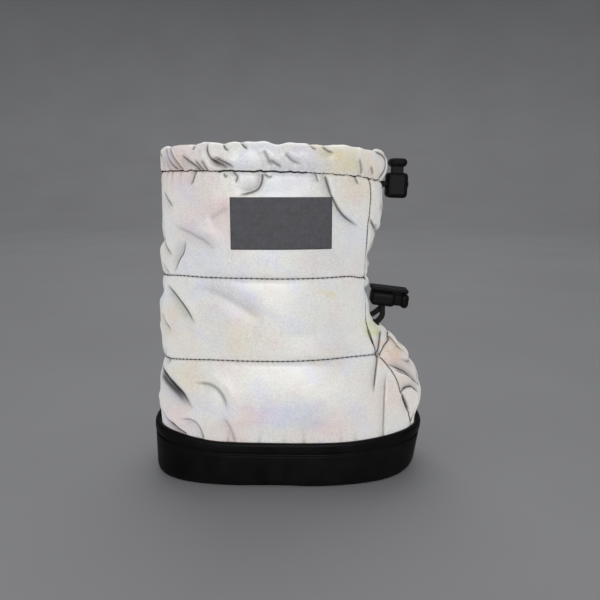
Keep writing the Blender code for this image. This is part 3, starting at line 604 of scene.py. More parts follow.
def ground_height(x, arch_share=ARCH_EDGE):
    """The underside: flat under heel and forefoot, with an arch, a toe spring and a bevelled heel."""
    arch = np.sin(np.pi * np.clip((x - ARCH_BACK) / (ARCH_FRONT - ARCH_BACK), 0.0, 1.0))
    toe = np.maximum((x - TOE_SPRING_START) / (SOLE_LENGTH / 2 - TOE_SPRING_START), 0.0)
    heel = np.maximum((HEEL_BEVEL_START - x) / (SOLE_LENGTH / 2 + HEEL_BEVEL_START), 0.0)
    return ARCH_RISE * arch * arch_share + TOE_SPRING * toe**2 + HEEL_BEVEL * heel**2


def swell(height):
    """How far the filling swells the upper between two sewn lines."""
    total = np.zeros_like(height)
    for _, low, high, _, depth in QUILTS:
        low = max(low, SWELL_START)
        share = np.clip((height - low) / (high - low), 0.0, 1.0)
        total = total + depth * np.sin(np.pi * share) ** SWELL_FULLNESS
    return total


def collar_drop(height, x):
    """The rows of the upper tilt forward and crown from the upper stitch line to the collar."""
    share = smooth_step((height - UPPER_STITCH) / (UPPER_TOP - UPPER_STITCH))
    return share * (COLLAR_SLOPE * x + COLLAR_CROWN * x**2)


def row_slide(height, x):
    """How far the fabric lies above its level, near the sewn rows."""
    rows = (LOWER_STITCH, UPPER_STITCH, UPPER_TOP)
    slides = read_table(ROW_SLIDES, x / MM) * MM
    return sum(slide * bell((height - row) / ROW_REACH) for slide, row in zip(slides, rows))


def upper_section(height):
    back, front, heel_half, ball_half, nose, tail = read_table(UPPER_SECTIONS, height / MM)
    return back * MM, front * MM, heel_half * MM, ball_half * MM, nose, tail


def upper_surface(turn, height):
    """The outside of the upper: inside the cup's wall below the rim, swelling out over it above."""
    turn, height = np.broadcast_arrays(turn, height)
    inside = outline_point(cup_section(height), turn, CUP_WALL + FIT_GAP)
    free = outline_point(upper_section(height), turn, -swell(height))
    share = smooth_step((height - rim_height(inside[..., 0]) - RIM_CLEAR) / RIM_BLEND)
    plan = inside + (free - inside) * share[..., None]
    level = height - collar_drop(height, plan[..., 0]) + row_slide(height, plan[..., 0])
    return np.concatenate((plan, level[..., None]), axis=-1)


# Paths, grids and pieces


def path_lengths(path):
    return np.concatenate(([0.0], np.cumsum(np.linalg.norm(np.diff(path, axis=0), axis=1))))


def smooth_path(points, per_span):
    """A smooth curve through points, with a few samples for each span."""
    points = np.array(points, float)
    padded = np.concatenate((points[:1], points, points[-1:]))
    a, b, c, d = padded[:-3, None], padded[1:-2, None], padded[2:-1, None], padded[3:, None]
    t = (np.arange(per_span) / per_span)[None, :, None]
    spans = 0.5 * (2 * b + (c - a) * t + (2 * a - 5 * b + 4 * c - d) * t**2 + (3 * b - a - 3 * c + d) * t**3)
    return np.concatenate((spans.reshape(-1, points.shape[1]), points[-1:]))


def resample(path, pitch):
    """Points of a path at an even pitch."""
    walked = path_lengths(path[:, :3])
    at = np.arange(0.0, walked[-1], pitch)
    return np.stack([np.interp(at, walked, path[:, k]) for k in range(path.shape[1])], axis=1)


def even_turns(section, count):
    """Turns that lie evenly along a section's outline, and how far along it they are."""
    fine = np.linspace(0.0, 1.0, FINE_TURNS)
    walked = path_lengths(outline_xy(section, fine))
    even = walked[-1] * np.arange(count) / count
    return np.interp(even, walked, fine), even


def at_level(plan, level):
    """Points of a plan at one level or at a level each."""
    return np.concatenate((plan, np.broadcast_to(level, len(plan))[:, None]), axis=1)


def noise_field(points, size, shift=0.0):
    """Smooth noise from -1 to 1 at points, with features of about a size."""
    flat = (points.reshape(-1, 3) / size + shift).tolist()
    return np.array([noise.noise(place) for place in flat]).reshape(points.shape[:-1])


def grid_normals(points, wrap_rows=False):
    """Outward normals of a grid whose rows go up and whose columns run once round."""
    around = np.roll(points, -1, axis=1) - np.roll(points, 1, axis=1)
    if wrap_rows:
        up = np.roll(points, -1, axis=0) - np.roll(points, 1, axis=0)
    else:
        up = np.gradient(points, axis=0)
    return unit(np.cross(around, up))


def grid_faces(rows, columns, wrap_rows, wrap_columns):
    """Quads of a grid of vertices that run row by row."""
    r = np.arange(rows if wrap_rows else rows - 1)[:, None]
    c = np.arange(columns if wrap_columns else columns - 1)[None, :]
    up, across = (r + 1) % rows, (c + 1) % columns
    corners = r * columns + c, r * columns + across, up * columns + across, up * columns + c
    return np.stack(np.broadcast_arrays(*corners), axis=-1).reshape(-1, 4).tolist()


def capped_faces(rows, columns):
    """Quads of a tube of rings, with a face over each end."""
    last = (rows - 1) * columns
    ends = [list(range(columns))[::-1], list(range(last, last + columns))]
    return grid_faces(rows, columns, False, True) + ends


def repeat_faces(faces, size, count):
    """The faces of many like pieces, whose vertices follow one another."""
    return [[k + i * size for k in face] for i in range(count) for face in faces]


def add_mesh(name, points, faces, finish):
    data = bpy.data.meshes.new(name)
    data.from_pydata(np.asarray(points).reshape(-1, 3).tolist(), [], faces)
    data.shade_smooth()
    data.materials.append(finish)
    made = bpy.data.objects.new(name, data)
    bpy.context.scene.collection.objects.link(made)
    return made


def add_piece(name, points, faces, finish, slot, *replaced):
    """A piece of the boot, and the solids that it stands for."""
    piece = add_mesh(name, points, faces, finish)
    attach(piece, "boot")
    if replaced:
        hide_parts(*replaced)
    return piece


# Fabric


def new_cloth(points, wrap_rows):
    faces = grid_faces(*points.shape[:2], wrap_rows, True)
    tree = BVHTree.FromPolygons(points.reshape(-1, 3).tolist(), faces)
    flat = points.shape[:2]
    return Cloth(points, grid_normals(points, wrap_rows), tree, np.zeros(flat), np.zeros(flat))


def lay_on(tree, face, places):
    """Places seen from one side, in millimetres, laid on the surface."""
    ways = {"near": (0, 1, 0), "far": (0, -1, 0), "front": (-1, 0, 0), "back": (1, 0, 0)}
    way = Vector(ways[face])
    laid = []
    for along, z in places:
        start = Vector((along, 0, z)) * MM if way.y else Vector((0, along, z)) * MM
        hit = tree.ray_cast(start - way, way)[0]
        if hit:
            laid.append(hit)
    return resample(np.array(laid), PATH_PITCH)


def press(cloth, crease):
    """Presses a crease into the fabric: a trough with a lip on one side, with painted shade along the trough
    and on the other side.
    """
    path = lay_on(cloth.tree, crease.face, smooth_path(crease.places, PATH_STEPS))
    width = crease.width * MM
    flat = cloth.points.reshape(-1, 3)
    reach = PRESS_REACH * width
    close = np.flatnonzero(np.all((flat > path.min(0) - reach) & (flat < path.max(0) + reach), axis=1))
    gaps = flat[close, None] - path[None]
    nearest = np.argmin((gaps**2).sum(axis=2), axis=1)
    gap = gaps[np.arange(len(close)), nearest]
    tangent = unit(np.gradient(path, axis=0))[nearest]
    side = np.cross(cloth.normal.reshape(-1, 3)[close], tangent)
    across = np.linalg.norm(gap, axis=1) * np.sign((gap * side).sum(axis=1)) / width
    share = nearest / (len(path) - 1)
    strength = np.ones(len(close))
    if crease.fade in ("both", "start"):
        strength *= smooth_step(share / FADE_IN)
    if crease.fade in ("both", "end"):
        strength *= smooth_step((1.0 - share) / FADE_OUT)
    trough = bell(across) - crease.lean * across * bell(across / LIP_WIDTH)
    # The painted shade: a dark line along the trough, and softer shade on the side away from the lip
    line = bell(across / max(LINE_WIDTH, LINE_LEAST / crease.width))
    soft = SOFT_SHADE * np.exp(-np.abs(across) / SOFT_REACH) * (across * crease.lean < 0)
    cloth.lift.reshape(-1)[close] -= crease.depth * MM * strength * trough
    cloth.shade.reshape(-1)[close] += crease.shade * strength * np.maximum(line, soft)


def gather_places(walked, pitch, seed):
    """Uneven gathers round the boot: signed distances to each, and the strength of each."""
    rng = np.random.default_rng(seed)
    total = walked[-1] + walked[1]
    count = int(total / pitch)
    places = (np.arange(count) + rng.uniform(-GATHER_UNEVEN, GATHER_UNEVEN, count)) / count * total
    gap = (walked[:, None] - places[None] + total / 2.0) % total - total / 2.0
    return gap, rng.uniform(GATHER_WEAKEST, 1.0, count)


def strip_share(points):
    """0 on the sides of the boot and 1 on the front strip and the toe panel."""
    seam = np.array(TOE_SEAM[:0:-1] + FRONT_SEAM[::-1]) * MM
    return smooth_step((points[..., 0] - np.interp(points[..., 2], seam[:, 1], seam[:, 0])) / STRIP_BLEND)


def calm_share(points):
    """1 where gathers fall by chance, and less on the near side, whose folds are in the tables."""
    near = smooth_step(-points[..., 1] / CALM_SIDE)
    return 1.0 - CALM_LOSS * near * smooth_step((points[..., 0] - CALM_FROM) / CALM_RUN)


def patch_clear(points):
    """0 under the patch and 1 away from it."""
    across = np.abs(points[..., 0] - PATCH_CENTRE_X) - PATCH_LENGTH / 2.0
    up = np.abs(points[..., 2] - PATCH_CENTRE_Z) - PATCH_HEIGHT / 2.0
    clear = smooth_step((np.maximum(across, up) + PATCH_MARGIN) / PATCH_BLEND)
    return np.where(points[..., 1] < 0, clear, 1.0)


def dress_shell(cloth, heights, walked):
    """Sewn rows, lumps of filling, crumples, creases, seams and gathers of the quilted shell.

    The rows, creases, seams and gathers also get painted shade.
    """
    x, y = cloth.points[..., 0], cloth.points[..., 1]
    height = np.broadcast_to(heights[:, None], x.shape)
    sides = 1.0 - strip_share(cloth.points)
    away = np.ones(x.shape)
    for row in (LOWER_STITCH, UPPER_STITCH, UPPER_TOP):
        gap = np.abs(height - row)
        sewn = sides if row < UPPER_TOP else 1.0
        away *= 1.0 - sewn * (1.0 - smooth_step(gap / ROW_CALM))
        cloth.lift[:] -= ROW_DIP * bell(gap / ROW_DIP_WIDTH) * sewn
        cloth.shade[:] += ROW_SHADE * bell(gap / ROW_SHADE_WIDTH) * sewn
    heel = LOOSE_HEEL * smooth_step((HEEL_LOOSE_FROM - x) / HEEL_LOOSE_RUN)
    toe = LOOSE_TOE * smooth_step((x - TOE_LOOSE_FROM) / TOE_LOOSE_RUN)
    collar = LOOSE_COLLAR * np.exp(-(UPPER_TOP - height) / COLLAR_LOOSE_RUN)
    far = LOOSE_FAR * smooth_step(y / FAR_LOOSE_RUN)
    loose = np.clip(LOOSE_LEAST + heel + toe + collar + far, 0.0, 1.0)
    lumps = noise_field(cloth.points, LUMP_SIZE)
    cloth.lift[:] += LUMP_DEPTH * lumps * away * (LUMP_LEAST + (1.0 - LUMP_LEAST) * loose)
    for size, depth, shift in CRUMPLES:
        folded = np.abs(noise_field(cloth.points * CRUMPLE_STRETCH, size, shift))
        cloth.lift[:] += depth * (np.minimum(folded, CRUMPLE_CREST) - CRUMPLE_CREST / 2.0) * away * loose
    for face, rows in CREASES.items():
        for row in rows:
            press(cloth, Crease(face, *row))
    for face, places in SEAMS:
        press(cloth, Crease(face, *SEAM_PRESS, places))
    calm = calm_share(cloth.points)
    for row, pitch, depth, length, shade, seed in GATHERS:
        gap, strength = gather_places(walked, pitch, seed)
        around = (strength * bell(gap / GATHER_WIDTH)).sum(axis=1)
        fold = around[None] * np.exp(-np.abs(height - row) / length)
        sewn = sides if row < UPPER_TOP else calm
        cloth.lift[:] -= depth * fold * sewn
        cloth.shade[:] += shade * fold * sewn
    over_rim = smooth_step((height - rim_height(x)) / RIM_SOFT)
    lift = np.where(cloth.lift > 0, cloth.lift * over_rim, cloth.lift) * patch_clear(cloth.points)
    cloth.lift[:] = np.maximum(lift, -DEEPEST_FOLD)


def skin_of(cloth):
    return cloth.points + cloth.normal * cloth.lift[..., None]


def tint_of(points):
    """Painted iridescent reflection of the fabric: white, with tints whose edges wander."""
    drift = [TINT_DRIFT * noise_field(points, TINT_DRIFT_SIZE, shift) for shift in TINT_DRIFT_SHIFTS]
    tint = np.ones(points.shape[:-1] + (4,))
    for x, z, radius, colour in TINTS:
        gap = np.hypot(points[..., 0] / MM + drift[0] - x, points[..., 2] / MM + drift[1] - z) / radius
        tint[..., :3] *= 1.0 + TINT_STRENGTH * bell(gap)[..., None] * (np.array(colour) - 1.0)
    return tint


def store_looks(piece, shade, tint):
    """Keeps the painted fold shade and the painted iridescent tint on the mesh, for the fabric to read."""
    shades = piece.data.attributes.new("fold_shade", "FLOAT", "POINT")
    deep = 1.0 - (1.0 - np.clip(shade, 0.0, 1.0)) ** 2
    shades.data.foreach_set("value", deep.astype(np.float32).ravel())
    tints = piece.data.attributes.new("tint", "FLOAT_COLOR", "POINT")
    tints.data.foreach_set("color", tint.astype(np.float32).ravel())


def make_shell(finish):
    """The three padded rings of the shell, each closed on the inside."""
    heights = [np.array([QUILT_FOOT])]
    for _, low, high, steps, _ in QUILTS:
        heights.append(np.linspace(low, high, steps + 1)[1:])
    heights = np.concatenate(heights)
    turns, walked = even_turns(upper_section(np.float64(EVEN_AT)), AROUND)
    cloth = new_cloth(upper_surface(turns[None], heights[:, None]), False)
    dress_shell(cloth, heights, walked)
    skin = skin_of(cloth)
    tint = tint_of(skin)
    start = 0
    for name, _, _, steps, _ in QUILTS:
        stop = start + steps
        back = np.linspace(stop, start, INNER_ROWS).round().astype(int)
        inside = cloth.points[back] - cloth.normal[back] * QUILT_THICKNESS
        points = np.concatenate((skin[start : stop + 1], inside))
        faces = grid_faces(len(points), AROUND, True, True)
        piece = add_piece(name, points, faces, finish, "silver_fabric", *(("upper",) if start == 0 else ()))
        shade = np.concatenate((cloth.shade[start : stop + 1], np.zeros((INNER_ROWS, AROUND))))
        store_looks(piece, shade, np.concatenate((tint[start : stop + 1], tint[back])))
        start = stop
    return cloth, skin, turns, walked


def make_casing(cloth, walked, finish):
    """The gathered tube round the collar. Its folds lean, are deepest at the stitches, fade upward and carry
    painted shade.
    """
    profile = smooth_path(CASING_PROFILE + CASING_PROFILE[:1], CASING_STEPS)[:-1]
    out, up = profile[:, 0:1] * MM, profile[:, 1:2] * MM
    top = cloth.points[-1]
    outward = unit(cloth.normal[-1] * (1.0 - UP))
    x = top[:, 0]
    rise = 1.0 - CASING_BACK_LOSS * smooth_step((CASING_BACK_FROM - x) / CASING_BACK_RUN)
    rise += CASING_FRONT_GAIN * smooth_step((x - CASING_FRONT_FROM) / CASING_FRONT_RUN)
    rise -= row_slide(UPPER_TOP, x) / CASING_WIDTH
    lean = CASING_LEAN * smooth_step(up / CASING_LEAN_RUN)
    points = top[None] + outward[None] * out[:, :, None] + UP * (CASING_GAP + up * rise[None])[:, :, None]
    tube = new_cloth(points + lean[:, :, None] * np.array((1.0, 0.0, 0.0)), True)

    gap, strength = gather_places(walked, PLEAT_PITCH, PLEAT_SEED)
    total = walked[-1] + walked[1]
    leaned = (gap[None] + PLEAT_SLANT * up[:, :, None] + total / 2.0) % total - total / 2.0
    lengths = np.random.default_rng(PLEAT_LENGTH_SEED)
    length = lengths.uniform(PLEAT_SHORTEST, PLEAT_LONGEST, gap.shape[1]) * MM
    outer = smooth_step((profile[:, 0:1] - PLEAT_END) / PLEAT_END_RUN)
    fold = strength * bell(leaned / PLEAT_WIDTH) * bell(up[:, :, None] / length)
    fold = fold.sum(axis=2) * outer * calm_share(top)[None]
    ring = top * (1.0 - UP)
    pucker = sum(share * noise_field(ring, size, shift) for size, shift, share in PUCKERS)
    high = smooth_step((profile[:, 1:2] - PUCKER_FROM) / PUCKER_RUN)
    tube.lift[:] += PUCKER_DEPTH * pucker[None] * high - PLEAT_DEPTH * fold
    tube.shade[:] += PLEAT_SHADE * fold
    for row in CASING_CREASES:
        press(tube, Crease("near", *row))
    skin = skin_of(tube)
    faces = grid_faces(len(skin), AROUND, True, True)
    piece = add_piece("collar_ruche", skin, faces, finish, "silver_fabric", "collar_casing")
    store_looks(piece, tube.shade, tint_of(skin))


# Threads


def add_stitches(name, paths, thread, finish):
    """Short threads that dip into the fabric at both ends. Each path is a pair of points and normals."""
    along = np.linspace(-0.5, 0.5, STITCH_RINGS)
    bend = np.abs(2.0 * along) ** STITCH_BEND
    radius = thread.thickness / 2.0 * (1.0 + STITCH_FLARE * bend)
    rise = thread.thickness * (STITCH_RISE - STITCH_DIP * bend)
    turn = 2.0 * np.pi * np.arange(STITCH_SIDES) / STITCH_SIDES
    stitches = []
    for path, normals in paths:
        both = resample(np.concatenate((path, normals), axis=1), thread.pitch)
        centre, normal = both[:, None, :3], unit(both[:, None, 3:])
        tangent = unit(np.gradient(centre, axis=0))
        side = unit(np.cross(normal, tangent))
        spine = centre + tangent * (along * thread.length)[None, :, None] + normal * rise[None, :, None]
        ring = side[:, None] * np.cos(turn)[:, None] + normal[:, None] * np.sin(turn)[:, None]
        stitches.append(spine[:, :, None] + ring * radius[None, :, None, None])
    stitches = np.concatenate(stitches)
    stitch = capped_faces(STITCH_RINGS, STITCH_SIDES)
    faces = repeat_faces(stitch, STITCH_RINGS * STITCH_SIDES, len(stitches))
    add_piece(name, stitches, faces, finish, "black_elastic")


def closed(points):
    return np.concatenate((points, points[:1]))


def make_threads(cloth, skin, finish):
    """The quilting rows stop at the front strip. The casing's row runs all round, unevenly."""
    rows = []
    low = QUILTS[0][3]
    for i in (low, low + QUILTS[1][3]):
        sewn = strip_share(cloth.points[i]) == 0.0
        rows.append((skin[i, sewn], cloth.normal[i, sewn]))
    add_stitches("quilt_threads", rows, QUILT_THREAD, finish)
    add_stitches("quilt_knots", rows, QUILT_KNOT, finish)
    ring = skin[-1] * (1.0 - UP)
    wobble = CASING_WOBBLE * noise_field(ring, CASING_WOBBLE_SIZE, CASING_WOBBLE_SHIFT)
    line = cloth.points[-1] + UP * (CASING_GAP / 2.0 + wobble)[:, None]
    add_stitches("casing_threads", [(closed(line), closed(cloth.normal[-1]))], CASING_THREAD, finish)
    pulled = (line[:, 1] < 0) & (line[:, 0] > PULLED_FROM) & (line[:, 0] < PULLED_TO)
    add_stitches("pulled_threads", [(line[pulled], cloth.normal[-1, pulled])], PULLED_THREAD, finish)
    dressed = new_cloth(skin, False).tree
    seams = []
    for face, places in SEAMS:
        line = lay_on(cloth.tree, face, smooth_path(places, PATH_STEPS))
        found = [dressed.find_nearest(place) for place in line.tolist()]
        seams.append((np.array([hit[0] for hit in found]), np.array([hit[1] for hit in found])))
    add_stitches("seam_threads", seams, SEAM_THREAD, finish)


# Lining, footbed and patch


def make_lining(turns, finish):
    """The fleece inside, a thin tube from the footbed to the casing."""
    heights = np.linspace(LINING_FOOT, UPPER_TOP + LINING_OVER, LINING_ROWS)
    wall = upper_surface(turns[None], np.minimum(heights, UPPER_TOP)[:, None])
    wall[..., 2] += np.maximum(heights - UPPER_TOP, 0.0)[:, None]
    normal = grid_normals(wall)
    pile = PILE_DEPTH * noise_field(wall, PILE_SIZE)
    inside = wall - normal * (LINING_INSIDE + pile)[..., None]
    points = np.concatenate((wall - normal * LINING_OUTSIDE, inside[::-1]))
    add_piece("fleece_lining", points, grid_faces(*points.shape[:2], True, True), finish, "fleece")


def make_footbed(turns, finish):
    """The fleece-topped footbed, a little cupped at its edge."""
    under = [
        (FOOTBED_MIDDLE, FOOTBED_LOW),
        (FOOTBED_UNDER, FOOTBED_LOW),
        (1.0, FOOTBED_LOW + FOOTBED_ROUND),
        (1.0, FOOTBED_HIGH),
    ]
    shares = np.linspace(FOOTBED_TOP, FOOTBED_MIDDLE, FOOTBED_ROWS)
    top = [(share, FOOTBED_HIGH + FOOTBED_CUP * share**4) for share in shares]
    rows = []
    for share, height in under + top:
        plan = outline_point(cup_section(height), turns, FOOTBED_EDGE)
        rows.append(at_level(plan * share, height))
    points = np.array(rows)
    pile = points[len(under):]
    pile[..., 2] += PILE_DEPTH * noise_field(pile, PILE_SIZE)
    piece = add_piece("footbed", points, capped_faces(*points.shape[:2]), finish, "fleece", "insole")


def make_patch(tree, finish):
    """The bare woven patch on the near side, with a soft edge."""
    across, up = np.linspace(-0.5, 0.5, PATCH_COLUMNS), np.linspace(-0.5, 0.5, PATCH_ROWS)
    base, ways = np.zeros((2, PATCH_ROWS, PATCH_COLUMNS, 3))
    for r in range(PATCH_ROWS):
        for c in range(PATCH_COLUMNS):
            x, z = PATCH_CENTRE_X + PATCH_LENGTH * across[c], PATCH_CENTRE_Z + PATCH_HEIGHT * up[r]
            base[r, c], ways[r, c] = tree.ray_cast(Vector((x, -1.0, z)), Vector((0, 1, 0)))[:2]
    edge = np.minimum((0.5 - np.abs(across))[None] * PATCH_LENGTH, (0.5 - np.abs(up))[:, None] * PATCH_HEIGHT)
    inward = np.clip(edge / PATCH_EDGE, 0.0, 1.0)
    crown = PATCH_EDGE_HEIGHT + (1.0 - PATCH_EDGE_HEIGHT) * np.sqrt(inward * (2.0 - inward))
    high = PATCH_LOW + (PATCH_HIGH - PATCH_LOW) * crown
    points = np.concatenate((base + ways * high[..., None], base + ways * PATCH_LOW))
    count = PATCH_ROWS * PATCH_COLUMNS
    front = grid_faces(PATCH_ROWS, PATCH_COLUMNS, False, False)
    index = np.arange(count).reshape(PATCH_ROWS, PATCH_COLUMNS)
    rim = np.concatenate((index[0], index[1:, -1], index[-1, -2::-1], index[-2:0:-1, 0]))
    after = np.roll(rim, -1)
    sides = np.stack((rim + count, after + count, after, rim), axis=1).tolist()
    back = [[k + count for k in face[::-1]] for face in front]
    add_piece("woven_patch", points, front + back + sides, finish, "grey_woven", "side_patch")


# Sole


def make_sole(finish):
    """The cup, with its underside raised by the depth of the tread."""
    turns, _ = even_turns(cup_section(RIM_HEIGHT), SOLE_AROUND)
    foot = outline_point(cup_section(0.0), turns, CUP_FOOT[0][0] * MM)
    rings = []
    for share in np.linspace(UNDER_MIDDLE, 1.0, UNDER_RINGS)[:-1]:
        arch_share = 1.0 - (1.0 - ARCH_EDGE) * share**3
        rings.append(at_level(foot * share, ground_height(foot[:, 0] * share, arch_share) + TREAD_DEPTH))
    for inset, height in np.maximum(smooth_path(CUP_FOOT, SOLE_STEPS), 0.0) * MM:
        plan = outline_point(cup_section(height), turns, inset)
        rings.append(at_level(plan, height + ground_height(plan[:, 0])))
    rim = rim_height(outline_xy(cup_section(RIM_HEIGHT), turns)[:, 0])
    for inset, below in smooth_path(CUP_BEAD, SOLE_STEPS) * MM:
        rings.append(at_level(outline_point(cup_section(rim - below), turns, inset), rim - below))
    rings.append(at_level(outline_point(cup_section(FLOOR_THICKNESS), turns, CUP_WALL), FLOOR_THICKNESS))
    add_piece("cup_sole", rings, capped_faces(len(rings), SOLE_AROUND), finish, "black_rubber", "outsole")


def make_tread(finish):
    """Six-sided lugs under heel, waist and forefoot, clear of the rounded edge."""
    turn = np.pi / 3.0 * np.arange(6)
    six = np.stack((np.cos(turn), np.sin(turn)), axis=1)
    inside = outline_point(cup_section(0.0), np.linspace(0.0, 1.0, TREAD_EDGE_STEPS), TREAD_EDGE)
    lugs = []
    for row in LUG_ROWS:
        y = row * TREAD_PITCH * math.sqrt(3.0) / 2.0
        wide = inside[np.abs(inside[:, 1]) >= abs(y) + LUG_RADIUS, 0]
        for column in LUG_ROWS:
            x = (column + 0.5 * (row % 2)) * TREAD_PITCH
            if not len(wide) or not wide.min() + LUG_RADIUS < x < wide.max() - LUG_RADIUS:
                continue
            low = ground_height(x, 1.0)
            tip = at_level(six * LUG_RADIUS * LUG_TIP + (x, y), low)
            root = at_level(six * LUG_RADIUS + (x, y), low + TREAD_DEPTH + LUG_ROOT)
            lugs.append(np.concatenate((tip, root)))
    add_piece("tread", lugs, repeat_faces(capped_faces(2, 6), 12, len(lugs)), finish, "black_rubber")


# Cords


def lock_frame(at, axis, cord_way):
    """The place of a lock: X along its plunger, Z along the cord."""
    x = axis.normalized()
    z = (cord_way - x * cord_way.dot(x)).normalized()
    return Matrix.Translation(at) @ Matrix((x, z.cross(x), z)).transposed().to_4x4()


def eyelet(height, y):
    """Where a strand leaves the front of the upper, and the way it points there."""
    turns = np.linspace(-EYELET_SPAN, EYELET_SPAN, EYELET_TURNS)
    line = upper_surface(turns, height)
    i = int(np.argmin(np.abs(line[:, 1] - y)))
    beside = turns[[i - EYELET_NEAR, i, i + EYELET_NEAR]]
    heights = height + EYELET_NEAR_HEIGHT * np.array((-1.0, 0.0, 1.0))
    rows = upper_surface(beside[None], heights[:, None])
    outward = unit(np.cross(rows[1, 2] - rows[1, 0], rows[2, 1] - rows[0, 1]))
    return Vector(line[i]), Vector(outward)


def add_cord(name, points, finish):
    """A braided cord: eight strips cross over and under round a core."""
    path = resample(smooth_path(points, CORD_STEPS), BRAID_STEP)
    tangent = unit(np.gradient(path, axis=0))
    side = unit(np.cross(tangent, CORD_ASIDE))
    other = np.cross(tangent, side)
    turn = 2.0 * np.pi * np.arange(BRAID_SIDES) / BRAID_SIDES
    twist = 2.0 * np.pi * np.arange(len(path))[:, None] * BRAID_STEP / BRAID_PITCH
    braid = np.abs(np.sin(2.0 * (turn + twist))) * np.abs(np.sin(2.0 * (turn - twist)))
    radius = CORD_DIAMETER / 2.0 * (BRAID_CORE + (1.0 - BRAID_CORE) * np.sqrt(braid))
    ring = side[:, None] * np.cos(turn)[None, :, None] + other[:, None] * np.sin(turn)[None, :, None]
    skin = path[:, None] + radius[..., None] * ring
    faces = capped_faces(len(path), BRAID_SIDES)
    add_piece(name.replace("drawcord", "braid"), skin, faces, finish, "black_elastic", name)


def add_strand(name, eyelet_at, reach, place, stops, finish):
    """A strand from its eyelet to stops in its lock, which are pairs of across and along."""
    start, outward = eyelet_at
    points = [start - outward * CORD_ROOT, start + outward * (EYELET_GAP + reach)]
    points += [place @ Vector((CORD_AT, across, along)) for across, along in stops]
    add_cord(name, points, finish)


def make_cords(cord_finish, thread_finish):
    """The strands from their eyelets into the locks, and a ring of stitches round each eyelet."""
    face = COLLAR_LOCK_DEPTH / 2.0
    eyelets = []
    axis = Vector((math.sin(COLLAR_LOCK_LEAN), 0, math.cos(COLLAR_LOCK_LEAN)))
    place = lock_frame(COLLAR_LOCK_AT, axis, Vector((1, 0, 0)))
    for side, name in ((-1, "near"), (1, "far")):
        across = side * STRAND_SPREAD * (place.to_3x3() @ Vector((0, 1, 0))).y
        eyelets.append(eyelet(COLLAR_EYELET_HEIGHT, side * COLLAR_EYELET_SPREAD))
        stops = (across, -face - COLLAR_STRAND_LEAD), (across, 0.0), (across, face + COLLAR_STRAND_TAIL)
        add_strand(f"collar_drawcord_{name}", eyelets[-1], 0.0, place, stops, cord_finish)
    axis = Vector((math.cos(ANKLE_LOCK_DROOP), 0, -math.sin(ANKLE_LOCK_DROOP)))
    cord_way = Vector((0, -math.sin(ANKLE_LOCK_ROLL), math.cos(ANKLE_LOCK_ROLL)))
    place = lock_frame(ANKLE_LOCK_AT, axis, cord_way)
    face = ANKLE_LOCK_DEPTH / 2.0
    for side, name, height, reach in ANKLE_STRANDS:
        across = side * STRAND_SPREAD
        eyelets.append(eyelet(height * MM, side * ANKLE_EYELET_SPREAD))
        stops = (
            (across * ANKLE_STRAND_FAN, -face - ANKLE_STRAND_LEAD),
            (across, -face + ANKLE_STRAND_SEAT),
            (across, 0.0),
            (across, face),
        )
        add_strand(f"ankle_drawcord_{name}", eyelets[-1], reach * MM, place, stops, cord_finish)
    rings = []
    turn = np.linspace(0.0, 2.0 * np.pi, EYELET_CORNERS)[:, None]
    for start, outward in eyelets:
        side = outward.cross(Vector((0, 0, 1))).normalized()
        up = side.cross(outward)
        ring = np.array(start) + EYELET_RADIUS * (np.cos(turn) * np.array(side) + np.sin(turn) * np.array(up))
        rings.append((ring, np.tile(np.array(outward), (len(ring), 1))))
    add_stitches("eyelet_threads", rings, EYELET_THREAD, thread_finish)


# Materials


def node(tree, kind, inputs=None, **settings):
    """A shader node with its settings, and its inputs set or linked."""
    made = tree.nodes.new("ShaderNode" + kind)
    for key, value in settings.items():
        setattr(made, key, value)
    for key, value in (inputs or {}).items():
        if isinstance(value, bpy.types.NodeSocket):
            tree.links.new(value, made.inputs[key])
        else:
            made.inputs[key].default_value = value
    return made


def new_finish(name, **constants):
    """A material, its tree, its shader and the object's own coordinates."""
    made = bpy.data.materials.new(name)
    made.use_nodes = True
    tree = made.node_tree
    shader = tree.nodes["Principled BSDF"]
    for key, value in constants.items():
        shader.inputs[key.replace("_", " ")].default_value = value
    return made, tree, shader, node(tree, "TexCoord").outputs["Object"]


def ramp(tree, factor, *stops):
    """A colour ramp from stops of position and colour, or of position and grey level."""
    made = node(tree, "ValToRGB", {"Fac": factor})
    elements = made.color_ramp.elements
    while len(elements) < len(stops):
        elements.new(0.5)
    for element, (position, colour) in zip(elements, stops):
        element.position = position
        element.color = (*np.broadcast_to(colour, 3), 1.0)
    return made.outputs["Color"]


def mix(tree, kind, factor, first, second):
    made = node(tree, "Mix", {0: factor, 6: first, 7: second}, data_type="RGBA", blend_type=kind)
    return made.outputs[2]


def noise_of(tree, place, scale, detail=3.0, roughness=0.5):
    made = node(tree, "TexNoise", {"Vector": place, "Scale": scale, "Detail": detail, "Roughness": roughness})
    return made.outputs["Fac"]


def bump(tree, shader, height, strength, distance, before=None):
    inputs = {"Height": height, "Strength": strength, "Distance": distance}
    if before:
        inputs["Normal"] = before
    made = node(tree, "Bump", inputs)
    tree.links.new(made.outputs["Normal"], shader.inputs["Normal"])
    return made.outputs["Normal"]


